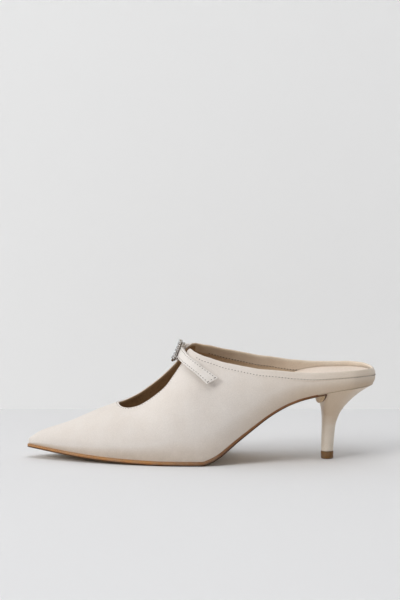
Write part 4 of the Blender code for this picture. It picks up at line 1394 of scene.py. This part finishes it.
def heel_front(up, y):
    """How far back the heel's front lies at this height and distance from the middle."""
    chain = heel_ring(up)[LATERAL if y < 0 else MEDIAL]
    for a, b in zip(chain, chain[1:]):
        if abs(b.y) >= abs(y) and abs(b.y) > abs(a.y):
            return a.lerp(b, (abs(y) - abs(a.y)) / (abs(b.y) - abs(a.y)))
    return chain[len(chain) // 2].copy()


def sole_columns():
    """Places across the sole from -1 to 1, closer together towards both edges."""
    return [sin(pi / 2 * (2 * k / COLUMNS - 1)) for k in range(COLUMNS + 1)]


def sole_sections():
    start, end = -LENGTH / 2 - SOLE_EDGE, SEAT_X - REAR_GAP
    sections = []
    for x in stations(start, (x_of(0.07), 12, "start"), (x_of(0.38), 16), (x_of(0.5), 8),
                      (x_of(0.62), 14), (end, 20)):
        wrap = min(max((x - WRAP_FROM) / (end - WRAP_FROM), 0.0), 1.0) ** 2
        above, below = [], []
        for c in sole_columns():
            side = LATERAL if c < 0 else MEDIAL
            inner_x = max(x + SOLE_EDGE, -LENGTH / 2)
            edge = side * reach(inner_x, side) + side * SOLE_EDGE * (1 - wrap)
            middle = HALF_BALL * last_of["ridge_side"](0.0) if x < TOE_UNTIL else 0.0
            y = middle + abs(c) * (edge - middle)
            if x == start:
                y = middle + c * CLEARANCE
            behind = heel_front(1.0, y * 0.98).x - heel_front(1.0, 0.0).x
            place = x + wrap * behind
            above.append(Vector((place, y, sole_top(place))))
            drop = sole_thickness(x) * hypot(1, sole_slope(place))
            below.append(Vector((place, y, sole_top(place) - drop)))
        sections.append((above, below))
    for up, width in FLAP:
        above, below = [], []
        chains = heel_ring(up)
        for c in sole_columns():
            side = LATERAL if c < 0 else MEDIAL
            half = max(abs(p.y) for p in chains[side][:CHAIN // 2 + 1]) * width
            spot = heel_front(up, side * abs(c) * half)
            out = Vector((-cos(FLAP_TILT), side * abs(c) * 0.5, -sin(FLAP_TILT))).normalized()
            above.append(spot + out * FLAP_GAP)
            below.append(spot + out * (FLAP_GAP + sole_thickness(SEAT_X)))
        sections.append((above, below))
    return sections


print(len(sole_sections()), "sections along the sole")

# %% Outsole: the plate


def rounded_edge(top, bottom, inside, under=0.0):
    """Points from the top to the bottom of one edge; under bevels its lower corner further."""
    down = bottom - top
    out = top - inside
    out = (out - down * (out.dot(down) / down.dot(down))).normalized()
    soft = min(EDGE_ROUND, down.length * 0.35)
    fall = down.normalized() * soft
    rise = max(1.0, down.length * under / soft)
    turns = [pi / 2 * k / (CORNER_POINTS - 1) for k in range(CORNER_POINTS)]
    upper = [top - out * soft * (1 - sin(t)) + fall * (1 - cos(t)) for t in turns]
    lower = [bottom - out * soft * rise * (1 - cos(t)) - fall * rise * (1 - sin(t))
             for t in turns]
    return upper + lower


def close_ends(bm, loops, inner):
    """Closes both ends of a plate whose loops run over its top, down, back below and up."""
    under = inner + EDGE_POINTS
    for loop in (loops[0], loops[-1]):
        top, right = loop[:inner], loop[inner:under]
        low, left = loop[under:under + inner][::-1], loop[under + inner:]
        for k in range(inner - 1):
            bm.faces.new((top[k], top[k + 1], low[k + 1], low[k]))
        bm.faces.new([top[-1]] + right + [low[-1]])
        bm.faces.new([top[0], low[0]] + left)


def make_plate(bm, sections, under=0.0):
    """A plate through sections of points above and below; gives its faces, ring after ring."""
    loops = []
    for above, below in sections:
        right = rounded_edge(above[-1], below[-1], above[-2], under)
        left = rounded_edge(above[0], below[0], above[1], under)
        points = above[1:-1] + right + below[1:-1][::-1] + left[::-1]
        loops.append([bm.verts.new(p) for p in points])
    faces = join_rings(bm, loops)
    close_ends(bm, loops, len(sections[0][0]) - 2)
    return faces, len(loops[0])


def make_outsole():
    bm = bmesh.new()
    faces, count = make_plate(bm, sole_sections(), UNDER_BEVEL)
    inner = COLUMNS - 1
    for n, face in enumerate(faces):
        k = n % count
        step = k - inner if k < inner + EDGE_POINTS else 2 * (inner + EDGE_POINTS - 1) - k
        if 0 <= step < EDGE_POINTS - 1:
            face.material_index = 1 if step < DARK_FROM else 2
    finishes = ["sole_leather", "sole_edge", "bevel_dye_and_shade"]
    return dress("leather_outsole", bm, finishes, ["outsole"])


leather_outsole = make_outsole()

# %% [markdown]
# Where the upper meets the sole, the sole's dyed top edge shows as a fine line round the shoe. A
# thin bead laid into that corner draws the line from all sides and hides the small gap. Behind it,
# a bead of darker leather closes the joint between the upper and the heel.

# %% Tubes along a line, and the two beads


def tube(bm, points, radius, sides=8, closed=False):
    """A round tube through points that turns as little as it can."""
    count = len(points)
    loops = []
    guide = None
    for k, point in enumerate(points):
        before = points[k - 1] if k > 0 or closed else point
        after = points[(k + 1) % count] if k + 1 < count or closed else point
        along = (after - before).normalized()
        if guide is None:
            guide = along.orthogonal()
        guide = (guide - along * guide.dot(along)).normalized()
        over = along.cross(guide)
        loops.append([bm.verts.new(point + (guide * cos(2 * pi * n / sides)
                                            + over * sin(2 * pi * n / sides)) * radius)
                      for n in range(sides)])
    if closed:
        loops.append(loops[0])
    join_rings(bm, loops)
    if not closed:
        bm.faces.new(loops[0])
        bm.faces.new(loops[-1])


BEAD_RADIUS = 0.00034


def bead_side(xs, side):
    """A line round one side of the shoe, in the corner under the upper's lower edge."""
    return [Vector((x + back_shift(x, sole_top(x)), side * (reach(x, side) + BEAD_RADIUS * 0.4),
                    sole_top(x) + BEAD_RADIUS * 0.5)) for x in xs]


def make_sole_line():
    xs = stations(-LENGTH / 2, (x_of(0.07), 14, "start"), (SEAT_X, 90))
    bm = bmesh.new()
    tube(bm, bead_side(xs, LATERAL)[::-1] + bead_side(xs, MEDIAL)[1:], BEAD_RADIUS)
    # the bead wears the sole's edge finish, with its painted shade along the waist and below
    return dress("sole_line", bm, ["sole_edge"])


def make_seat_line():
    xs = spaced(SEAT_X + CLEARANCE, LENGTH / 2 - 0.00002, 70, "end")
    bm = bmesh.new()
    tube(bm, bead_side(xs, LATERAL) + bead_side(xs, MEDIAL)[::-1], BEAD_RADIUS)
    return dress("seat_line", bm, ["seat_leather"])


sole_line = make_sole_line()
seat_line = make_seat_line()

# %% [markdown]
# The footbed lies inside the upper from wall to wall, thin under the toes and padded at the heel.
# It is one closed pad with a rounded edge, made by the same plate helper as the sole, because a
# plate keeps its rounded edge wherever its width changes. Its top dips a little along the middle,
# as a footbed's does.

# %% Footbed
FOOTBED_COLUMNS = 20
FOOTBED_DIP = 0.0005
FOOTBED_SET_BACK = 0.0035     # its tip behind the end of the hollow
FOOTBED_TIP = 0.0005          # half its width there, at the least
DIPS_FROM = 0.02              # half width from which the full dip is reached
HIGH_SHARE = 0.8              # its top is as wide as the hollow at this share of its thickness
REAR_FROM = x_of(0.86)        # behind here it follows the round of the back


def inside_width(x, side, z):
    """Distance from the middle line to the inside of the wall at this height."""
    best = reach(x, side)
    for k in range(25):
        point = skin_point(x, side, LOWER_PART * 1.6 * k / 24)
        if point.z <= z:
            best = abs(point.y)
    return best - WALL


def footbed_sections():
    front = x_of(SOLID_TOE) + FOOTBED_SET_BACK
    back = LENGTH / 2 - WALL - BACK_CURVE - 2 * CLEARANCE
    sections = []
    for x in stations(front, (x_of(0.1), 4), (x_of(0.5), 14), (REAR_FROM, 30), (back, 22, "end")):
        thick = FOOTBED_THICKNESS * footbed_share(share_of(x))
        low = sole_top(x) + CLEARANCE
        rear = max(0.0, (x - REAR_FROM) / (back - REAR_FROM))
        wall_x = x + (WALL + BACK_CURVE) * rear ** 3
        above, below = [], []
        for k in range(FOOTBED_COLUMNS + 1):
            c = sin(pi / 2 * (2 * k / FOOTBED_COLUMNS - 1))
            side = LATERAL if c < 0 else MEDIAL
            wide = inside_width(wall_x, side, low + thick * HIGH_SHARE) - 2 * CLEARANCE
            foot = inside_width(wall_x, side, low) - 2 * CLEARANCE
            dip = FOOTBED_DIP * (1 - c * c) * min(1.0, wide / DIPS_FROM)
            above.append(Vector((x, side * abs(c) * max(wide, FOOTBED_TIP), low + thick - dip)))
            below.append(Vector((x, side * abs(c) * max(foot, FOOTBED_TIP), low)))
        sections.append((above, below))
    return sections


def make_footbed():
    bm = bmesh.new()
    make_plate(bm, footbed_sections())
    return dress("footbed", bm, ["footbed_leather"], ["insole"])


footbed = make_footbed()

# %% [markdown]
# A heel sock is a thin piece of leather glued on the footbed under the heel, with a round front
# edge. It could be a change of colour on the footbed, but then its edge would have no thickness,
# so it is a plate of its own that lies there.

# %% Heel sock
SOCK_THICKNESS = 0.0013
SOCK_FRONT = 0.705        # share of the length where the sock's rounded front lies
SOCK_ROUND = 0.050        # share of the length over which its front is rounded
SOCK_INSET = 0.0009       # its edge from the footbed's edge
SOCK_LIFT = 0.00002       # its underside over the footbed
SOCK_THINS = 0.012        # where the footbed is narrower than this, the sock thins out
SOCK_THIN = 0.3           # to this share of its thickness
SOCK_NARROW = 0.004       # least width that the inset is measured against


def sock_sections():
    sections = []
    for above, _ in footbed_sections():
        share = (share_of(above[0].x) - SOCK_FRONT) / SOCK_ROUND
        if share <= 0:
            continue
        width = above[-1].y - above[0].y
        middle = (above[0].y + above[-1].y) / 2
        spread = sqrt(1 - (1 - min(share, 1.0)) ** 2)
        spread *= 1 - 2 * SOCK_INSET / max(width, SOCK_NARROW)
        thick = SOCK_THICKNESS * (SOCK_THIN + (1 - SOCK_THIN) * min(1.0, width / SOCK_THINS))
        places = [Vector((p.x, middle + (p.y - middle) * spread, p.z)) for p in above]
        low = [place + Vector((0.0, 0.0, SOCK_LIFT)) for place in places]
        high = [place + Vector((0.0, 0.0, thick)) for place in places]
        sections.append((high, low))
    return sections


def make_sock():
    bm = bmesh.new()
    make_plate(bm, sock_sections())
    return dress("heel_sock", bm, ["footbed_leather"])


heel_sock = make_sock()

# %% [markdown]
# The strap is two layers of suede sewn together. It comes up from the inner side, passes under
# the buckle's frame and over its bar, and hangs down the outer side, cut a little slantwise at its
# end. A curve with a bevel would be quick, but it twists where the strap turns. So a flat profile
# with a small groove between its layers is swept through spots laid over the last, and each spot
# says which way the strap faces there. The short tab that holds the bar is made the same way.

# %% Strap, tab and buckle: sizes and place
STRAP_WIDTH = 0.0096
STRAP_THICKNESS = 0.0014
TAB_WIDTH = 0.0074
TAB_THICKNESS = 0.0008
BUCKLE_HEIGHT = 0.0156    # along the strap's width
BUCKLE_REACH = 0.0160     # along the strap's length
BUCKLE_RIM = 0.0022
BUCKLE_THICKNESS = 0.0015
BUCKLE_LIFT = 0.0032      # underside of the frame over the last's surface
BAR_DIAMETER = 0.0010
STONE_DIAMETER = 0.0023
STONE_HEIGHT = 0.0012
BuckleSpot = namedtuple("BuckleSpot", "along across twist")
BUCKLE_AT = BuckleSpot(0.446, -0.045, 16)
UNDER_FRAME = BUCKLE_LIFT - CLEARANCE - STRAP_THICKNESS / 2
TAB_LEVEL = CLEARANCE + TAB_THICKNESS / 2
BAR_LEVEL = TAB_LEVEL + TAB_THICKNESS / 2 + CLEARANCE + BAR_DIAMETER / 2
OVER_BAR = BAR_LEVEL + BAR_DIAMETER / 2 + CLEARANCE + STRAP_THICKNESS / 2 + 0.0003
RIM_MIDDLE = (BUCKLE_REACH - BUCKLE_RIM) / 2


def on_last(along, across, lift, twist=0):
    """A spot of a strap's middle plane over the last, and its outward direction."""
    x = x_of(along)
    out = side_normal(x, across)
    middle = side_point(x, across) + out * lift
    return middle, Quaternion((0, 1, 0), -radians(twist)) @ out


def find_buckle_axes():
    """The buckle's own frame: its middle, and its along, up-slope and outward directions."""
    middle, out = on_last(BUCKLE_AT.along, BUCKLE_AT.across, 0.0, BUCKLE_AT.twist)
    out.y = 0
    out.normalize()
    along = Vector((0, -1, 0))
    return middle, along, out.cross(along), out


BUCKLE_AXES = find_buckle_axes()


def buckle_place(a, u, n):
    middle, along, wide, out = BUCKLE_AXES
    return middle + along * a + wide * u + out * n


def on_buckle(a, n):
    """A spot of a strap's middle plane given in the buckle's own frame."""
    return buckle_place(a, 0.0, n), BUCKLE_AXES[3]


print("buckle at", [round(c * 1000, 1) for c in BUCKLE_AXES[0]], "mm")

# %% Strap and tab: spots along them
STRAP_RIDE = CLEARANCE + STRAP_THICKNESS / 2 + BAND_STEP
TAIL_LIFT = 0.0026        # the strap's end stands this far off the upper
STAND_OFF = 0.0008        # and the part before it this far
OVER_TAB = STRAP_RIDE + CLEARANCE + TAB_THICKNESS + 0.0003
STRAP_SPOTS = [
    on_last(0.515, 0.42, STRAP_RIDE),
    on_last(0.495, 0.34, STRAP_RIDE),
    on_last(0.474, 0.255, STRAP_RIDE, 4),
    on_last(0.458, 0.175, STRAP_RIDE, 10),
    on_buckle(-RIM_MIDDLE, UNDER_FRAME),
    on_buckle(-RIM_MIDDLE * 0.7, UNDER_FRAME + 0.0002),
    on_buckle(0, OVER_BAR),
    on_buckle(RIM_MIDDLE * 0.7, UNDER_FRAME + 0.0002),
    on_buckle(RIM_MIDDLE, UNDER_FRAME),
    on_last(0.455, -0.220, OVER_TAB + 0.0003, 10),
    on_last(0.471, -0.313, OVER_TAB + STAND_OFF, 6),
    on_last(0.4965, -0.394, OVER_TAB + STAND_OFF, 2),
    on_last(0.5305, -0.458, STRAP_RIDE + TAIL_LIFT),
]
Taper = namedtuple("Taper", "along width")
STRAP_TAPER = [           # the strap draws in where it passes the buckle
    Taper(0.00, 1.00),
    Taper(0.30, 0.95),
    Taper(0.47, 0.86),
    Taper(0.60, 0.83),
    Taper(0.70, 0.76),
    Taper(0.82, 0.78),
    Taper(0.92, 0.86),
    Taper(1.00, 0.95),
]
TAB_REST = TAB_LEVEL + BAND_STEP
TAB_SPOTS = [
    on_last(0.491, -0.361, TAB_REST, 2),
    on_last(0.481, -0.333, TAB_REST, 5),
    on_last(0.467, -0.282, TAB_REST, 8),
    on_last(0.455, -0.215, TAB_REST, 10),
    on_buckle(RIM_MIDDLE, TAB_LEVEL - 0.0003),
    on_buckle(BAR_DIAMETER, TAB_LEVEL),
    on_buckle(-BAR_DIAMETER, TAB_LEVEL),
]
print(len(STRAP_SPOTS), "spots along the strap and", len(TAB_SPOTS), "along the tab")

# %% Strap and tab: the sweep


def sweep_line(spots):
    """Curves for the middle plane and its outward direction through a strap's spots."""
    marks = marks_along([middle for middle, _ in spots])
    place = [smooth(marks, [spot[0][axis] for spot in spots]) for axis in range(3)]
    facing = [smooth(marks, [spot[1][axis] for spot in spots]) for axis in range(3)]

    def at(mark):
        before, after = max(mark - 0.0005, 0), min(mark + 0.0005, marks[-1])
        middle = Vector(curve(mark) for curve in place)
        ahead = Vector(curve(after) - curve(before) for curve in place).normalized()
        wide = Vector(curve(mark) for curve in facing).cross(ahead).normalized()
        return middle, ahead, wide, ahead.cross(wide).normalized()

    return at, marks[-1]


def layered_profile(width, thickness, groove):
    """A closed flat profile: rounded corners and a groove between its two layers."""
    half, high, soft = width / 2, thickness / 2, min(0.00028, thickness * 0.3)
    right = [(half - soft * 2, high), (half - soft * 0.6, high - soft * 0.15),
             (half, high - soft), (half, groove), (half - groove * 2, 0.0), (half, -groove),
             (half, -high + soft), (half - soft * 0.6, -high + soft * 0.15),
             (half - soft * 2, -high)]
    flat = [-0.8, -0.5, -0.2, 0.2, 0.5, 0.8]
    under = [(-share * half, -high) for share in flat]
    over = [(share * half, high) for share in flat]
    return right + under + [(-a, n) for a, n in right[::-1]] + over


END_CORNER = 0.0007
STRAP_GROOVE = 0.00008
TAB_GROOVE = 0.00004
STRAP_END_SLANT = 0.40    # the end is cut slantwise: how far it leans for each unit across
SLANT_REACH = 0.008       # and the length over which the lean grows


strap_width_at = column(STRAP_TAPER, "width")


def make_band(name, spots, width, thickness, count, groove, node,
              taper=lambda share: 1.0, slant=0.0):
    at, reach_to = sweep_line(spots)
    profile = layered_profile(width, thickness, groove)
    ends = [END_CORNER * (1 - cos(pi / 2 * k / 4)) for k in range(4)]
    marks = ends + spaced(END_CORNER, reach_to - END_CORNER, count)
    marks += [reach_to - e for e in ends[::-1]]
    bm = bmesh.new()
    loops = []
    for mark in marks:
        middle, ahead, wide, out = at(mark)
        left = max(0.0, END_CORNER - min(mark, reach_to - mark))
        size = 1 - (END_CORNER - sqrt(max(0.0, END_CORNER ** 2 - left ** 2))) / (width / 2)
        size *= taper(mark / reach_to)
        lean = slant * max(0.0, 1 - (reach_to - mark) / SLANT_REACH)
        loops.append([bm.verts.new(middle + (wide + ahead * lean) * a * size + out * n)
                      for a, n in profile])
    join_rings(bm, loops)
    for loop in (loops[0], loops[-1]):
        bm.faces.new(loop)
    return dress(name, bm, ["strap_suede"], [node], 60)


strap = make_band("suede_strap", STRAP_SPOTS, STRAP_WIDTH, STRAP_THICKNESS, 150, STRAP_GROOVE,
                  "strap", strap_width_at, STRAP_END_SLANT)
tab = make_band("suede_tab", TAB_SPOTS, TAB_WIDTH, TAB_THICKNESS, 60, TAB_GROOVE, "buckle_tab")

# %% [markdown]
# The buckle's frame is a small polished rectangle with rounded corners. A cube with a hole and a
# bevel would do, but its corners would pinch. Here a rounded profile is swept once round a rounded
# rectangle. Two posts behind it carry the bar that the tab is sewn round.

# %% Buckle frame and bar
FRAME_CORNER = 0.0020
FRAME_SOFT = 0.0004       # rounding of the frame's own profile
POST_RADIUS = 0.0009
POST_SINK = 0.0003        # how far a post reaches up into the frame


def rounded_rectangle(half_a, half_u, corner, steps=7):
    """Points round a rectangle with rounded corners, with the outward direction at each."""
    points = []
    for turn, (sa, su) in enumerate(((1, 1), (-1, 1), (-1, -1), (1, -1))):
        for k in range(steps + 1):
            angle = pi / 2 * (turn + k / steps)
            points.append((sa * (half_a - corner) + corner * cos(angle),
                           su * (half_u - corner) + corner * sin(angle), angle))
    return points


def make_buckle_frame():
    bm = bmesh.new()
    half, high = BUCKLE_RIM / 2, BUCKLE_THICKNESS / 2
    profile = rounded_rectangle(half, high, FRAME_SOFT, 3)
    path = rounded_rectangle(BUCKLE_REACH / 2 - half, BUCKLE_HEIGHT / 2 - half, FRAME_CORNER)
    level = BUCKLE_LIFT + high
    loops = []
    for a, u, angle in path:
        loops.append([bm.verts.new(buckle_place(a + p * cos(angle), u + p * sin(angle), level + n))
                      for p, n, _ in profile])
    join_rings(bm, loops + [loops[0]])
    for side in (-1, 1):
        u = side * (BUCKLE_HEIGHT / 2 - half)
        post = [buckle_place(0, u, n) for n in (BUCKLE_LIFT + POST_SINK, 2 * CLEARANCE)]
        tube(bm, post, POST_RADIUS, 14)
    return dress("polished_frame", bm, ["polished_metal"], ["buckle_frame"], 40)


def make_bar():
    bm = bmesh.new()
    half = BUCKLE_HEIGHT / 2 - BUCKLE_RIM / 2
    tube(bm, [buckle_place(0, u, BAR_LEVEL) for u in (-half, 0, half)], BAR_DIAMETER / 2, 16)
    return dress("polished_bar", bm, ["polished_metal"], ["buckle_bar"], 40)


polished_frame = make_buckle_frame()
polished_bar = make_bar()

# %% [markdown]
# Seen edge on, the buckle isn't one bright block: a darker wire shows behind it and a row of small
# grains before it, as on jewelled buckles whose edges are milled and left to darken. A bump would
# not change the outline, so the wire is a tube, the grains are small balls set at an even pitch,
# and two larger balls finish the lower corners. All of them are one mesh.

# %% Aged rails of the buckle
RAIL_RADIUS = 0.00042
BEAD_PITCH = 0.0017
GRAIN_RADIUS = 0.00052    # the beads of the front rail
BALL_RADIUS = 0.00105     # and the balls at its lower corners


def rail_path(level, out):
    """Round the frame at one level, this far out from its edge, or in from it below nought."""
    path = rounded_rectangle(BUCKLE_REACH / 2 + out, BUCKLE_HEIGHT / 2 + out, FRAME_CORNER)
    return [buckle_place(a, u, level) for a, u, _ in path]


def add_ball(bm, middle, radius):
    made = bmesh.ops.create_icosphere(bm, subdivisions=2, radius=radius)
    bmesh.ops.translate(bm, verts=made["verts"], vec=middle)


def make_rails():
    """An aged wire round the frame's back edge and a row of beads round its front edge."""
    bm = bmesh.new()
    tube(bm, rail_path(BUCKLE_LIFT + RAIL_RADIUS, -RAIL_RADIUS / 2), RAIL_RADIUS, 8, closed=True)
    front = rail_path(BUCKLE_LIFT + BUCKLE_THICKNESS, -GRAIN_RADIUS / 2)
    front.append(front[0])
    marks = marks_along(front)
    count = int(marks[-1] / BEAD_PITCH)
    for n in range(count):
        k, share = find_mark(marks, marks[-1] * n / count)
        add_ball(bm, front[k].lerp(front[k + 1], share), GRAIN_RADIUS)
    level = BUCKLE_LIFT + BUCKLE_THICKNESS + BALL_RADIUS / 2
    for side in (-1, 1):
        add_ball(bm, buckle_place(side * BUCKLE_REACH / 2, -BUCKLE_HEIGHT / 2, level), BALL_RADIUS)
    return dress("aged_rails", bm, ["aged_metal"], (), 60)


aged_rails = make_rails()

# %% [markdown]
# Each stone is cut like a small brilliant: a flat table, a sloping crown of facets, a thin girdle
# and a cone below. A ball would only blur the light, while flat facets make it sparkle. They are
# the faces of the hull round a few rings of points. Each stone sits in a metal cup with four claws
# bent over its girdle.

# %% Stones
STONE_PITCH = 1.12        # the least distance between two stones, in diameters
FACETS = 8
Cut = namedtuple("Cut", "height size turn sides")
CUT = [
    Cut(0.00, 0.30, 0.0, FACETS),
    Cut(0.48, 0.99, 0.0, 2 * FACETS),
    Cut(0.58, 1.00, 0.0, 2 * FACETS),
    Cut(0.82, 0.80, 0.5, FACETS),
    Cut(1.00, 0.56, 0.0, FACETS),
]


def stone_places():
    """Middles of the stones round the frame: six up each long side, four more on each end."""
    a_edge = BUCKLE_REACH / 2 - BUCKLE_RIM / 2
    u_edge = BUCKLE_HEIGHT / 2 - BUCKLE_RIM / 2
    rows = max(2, int(2 * u_edge / (STONE_DIAMETER * STONE_PITCH)) + 1)
    ends = max(2, int(2 * a_edge / (STONE_DIAMETER * STONE_PITCH)) + 1)
    places = [(side * a_edge, -u_edge + 2 * u_edge * k / (rows - 1))
              for side in (-1, 1) for k in range(rows)]
    places += [(-a_edge + 2 * a_edge * k / (ends - 1), side * u_edge)
               for side in (-1, 1) for k in range(1, ends - 1)]
    return places


print(len(stone_places()), "stones round the frame")

# %% Stones: cups, claws and the pieces
CLAWS = 4
CLAW_RADIUS = 0.00013
CLAW_FOOT = 0.98          # in radii of the stone
CLAW_KNEE = 0.60          # in heights of the stone
CLAW_BEND = 0.14          # how far its end leans over the stone, in both
CUP_SIDES = 16
Cup = namedtuple("Cup", "size level")
CUP = [
    Cup(0.97, -0.00020),
    Cup(0.99, 0.00030),
    Cup(0.96, 0.00034),
    Cup(0.72, 0.00012),
]
STONE_BASE = BUCKLE_LIFT + BUCKLE_THICKNESS + CLEARANCE / 2


def make_stone(index, a, u):
    _, along, wide, _ = BUCKLE_AXES
    radius = STONE_DIAMETER / 2
    bm = bmesh.new()
    for cut in CUT:
        middle = buckle_place(a, u, STONE_BASE + STONE_HEIGHT * cut.height)
        for k in range(cut.sides):
            turn = 2 * pi * (k + cut.turn) / cut.sides
            bm.verts.new(middle + (along * cos(turn) + wide * sin(turn)) * radius * cut.size)
    bmesh.ops.convex_hull(bm, input=bm.verts)
    return dress(f"cut_stone_{index:02d}", bm, ["cut_glass"], [f"stone_{index:02d}"], 8)


def make_settings():
    _, along, wide, out = BUCKLE_AXES
    bm = bmesh.new()
    radius = STONE_DIAMETER / 2
    for a, u in stone_places():
        loops = []
        for cup in CUP:
            middle = buckle_place(a, u, STONE_BASE + cup.level)
            turns = [k * 2 * pi / CUP_SIDES for k in range(CUP_SIDES)]
            loops.append([bm.verts.new(middle + (along * cos(t) + wide * sin(t))
                                       * radius * cup.size) for t in turns])
        join_rings(bm, loops)
        bm.faces.new(loops[0])
        bm.faces.new(loops[-1])
        for k in range(CLAWS):
            turn = pi / 4 + 2 * pi / CLAWS * k
            way = along * cos(turn) + wide * sin(turn)
            foot = buckle_place(a, u, STONE_BASE) + way * radius * CLAW_FOOT
            knee = foot + out * STONE_HEIGHT * CLAW_KNEE
            nose = knee + out * STONE_HEIGHT * CLAW_BEND - way * radius * CLAW_BEND
            tube(bm, [foot, knee, nose], CLAW_RADIUS, 6)
    return dress("stone_settings", bm, ["polished_metal"], (), 40)


stones = [make_stone(index, a, u) for index, (a, u) in enumerate(stone_places(), 1)]
settings = make_settings()

# %% [markdown]
# A stitch is a short rounded piece of thread that dives into the suede at both ends. It could be
# painted on with a pattern, but real thread stands up and catches light. So a row of small pieces
# is walked along a line at an even pitch, each lying in the surface and half sunk, and all the
# stitches of a row are one mesh.

# %% Rows of stitches
Thread = namedtuple("Thread", "pitch length width")
COLLAR_THREAD = Thread(0.0024, 0.0009, 0.00062)
THROAT_THREAD = Thread(0.0023, 0.0008, 0.00034)
STRAP_THREAD = Thread(0.0024, 0.0010, 0.00050)
INSIDE_THREAD = Thread(0.0023, 0.0011, 0.00066)
THREAD_SINK = 0.0001      # the middle of a stitch lies this far under the surface
STITCH_SIDES = 6
Bulge = namedtuple("Bulge", "along size")
STITCH = [                # places along a stitch and its width there, as shares of its own
    Bulge(-0.50, 0.45),
    Bulge(-0.42, 0.80),
    Bulge(-0.25, 1.00),
    Bulge(0.25, 1.00),
    Bulge(0.42, 0.80),
    Bulge(0.50, 0.45),
]


def add_stitch(bm, middle, along, out, thread):
    wide = out.cross(along).normalized()
    turns = [n * 2 * pi / STITCH_SIDES for n in range(STITCH_SIDES)]
    loops = []
    for bulge in STITCH:
        spot = middle + along * thread.length * bulge.along
        loops.append([bm.verts.new(spot + (wide * cos(t) + out * sin(t))
                                   * thread.width / 2 * bulge.size) for t in turns])
    join_rings(bm, loops)
    bm.faces.new(loops[0])
    bm.faces.new(loops[-1])


def add_row(bm, line, thread):
    """Stitches along a line of (point, outward direction)."""
    marks = marks_along([point for point, _ in line])
    count = int(marks[-1] / thread.pitch)
    for n in range(count + 1):
        mark = min(marks[-1] * n / max(count, 1), marks[-1] - 1e-7)
        k, share = find_mark(marks, mark)
        (a, out_a), (b, out_b) = line[k], line[k + 1]
        add_stitch(bm, a.lerp(b, share), (b - a).normalized(), out_a.lerp(out_b, share), thread)


def stitches(name, lines, thread):
    bm = bmesh.new()
    for line in lines:
        add_row(bm, line, thread)
    # the thread's colour holds painted shade of its holes
    return dress(name, bm, ["thread_and_hole_shade"], (), 80)


print(len(STITCH), "rings of points in a stitch")

# %% Stitches of the upper
BACK_GAP = 0.0004         # the collar's row stops this far from the back line
COLLAR_ROW_FROM = 0.487   # shares of the length where rows of stitches start and change pace
COLLAR_EASES_FROM = 0.9
THROAT_EVEN_FROM = 0.34
THROAT_ROW_UNTIL = 0.452
THROAT_ROW = 0.0017       # the throat's row from its edge
THROAT_LIFT = 0.00002


def skin_spot(x, side, t, lift):
    point = skin_point(x, side, t)
    near = min(x, LENGTH / 2 - BACK_MARGIN)
    out = side_normal(near, side * (1 - t))
    return point + out * (lift + softness(point, side)), out


def collar_line(side, below_edge, lift):
    """A line that keeps a distance below the collar's edge, measured up the section."""
    line = []
    for x in stations(x_of(COLLAR_ROW_FROM), (x_of(COLLAR_EASES_FROM), 90),
                      (LENGTH / 2 - BACK_GAP, 60, "end"))[:-1]:
        walk = section_walk(x, side, opening[side](x))
        point = walk_to(walk, walk[1][-1] - below_edge)
        near = min(x, LENGTH / 2 - BACK_MARGIN)
        t = turn_at(x, side, "high", point.z)
        out = side_normal(near, side * (1 - t))
        line.append((point + out * lift, out))
    return line


def throat_line(distance, lift):
    """Round the throat from the lateral corner to the medial one, beside its edge."""
    line = []
    even = x_of(THROAT_EVEN_FROM)
    for side in SIDES:
        front, turn = inset_curve(side, distance)
        xs = stations(front, (even, 30, "square"), (x_of(THROAT_ROW_UNTIL), 30))[:-1]
        half = [skin_spot(x, side, turn(x), lift) for x in xs]
        line = half[::-1] if side < 0 else line + half[1:]
    return line


COLLAR_STITCH_DEPTH = BAND_WIDTH - 0.0008
collar_rows = [collar_line(side, COLLAR_STITCH_DEPTH, SOFT_STEP - THREAD_SINK) for side in SIDES]
collar_row = collar_rows[0] + collar_rows[1][::-1]
collar_stitches = stitches("collar_stitches", [collar_row], COLLAR_THREAD)
inside_stitches = stitches("inside_stitches", [inside_seam], INSIDE_THREAD)
throat_row = throat_line(THROAT_ROW, THROAT_LIFT)
throat_stitches = stitches("throat_stitches", [throat_row], THROAT_THREAD)

# %% [markdown]
# The strap's two layers are held by a row of stitches close to its edge, down both sides and
# across the end. The rows use the strap's own sweep, so they follow its turns, its narrowing and
# the slant of its end.

# %% Stitches along the strap
STRAP_INSET = 0.0012      # the rows from the strap's edge


def strap_lines():
    """Both long edges and the slanting end of the strap, on its outer face."""
    at, reach_to = sweep_line(STRAP_SPOTS)

    def spot(mark, across):
        middle, ahead, wide, out = at(mark)
        lean = STRAP_END_SLANT * max(0.0, 1 - (reach_to - mark) / SLANT_REACH)
        half = STRAP_WIDTH / 2 * strap_width_at(mark / reach_to) - STRAP_INSET
        return middle + (wide + ahead * lean) * across * half + out * STRAP_THICKNESS / 2, out

    marks = spaced(0.001, reach_to - STRAP_INSET, 120) + [reach_to - STRAP_INSET]
    lines = [[spot(mark, side) for mark in marks] for side in (-1, 1)]
    lines.append([spot(marks[-1], k / 4 - 1) for k in range(1, 8)])
    return lines


strap_stitches = stitches("strap_stitches", strap_lines(), STRAP_THREAD)
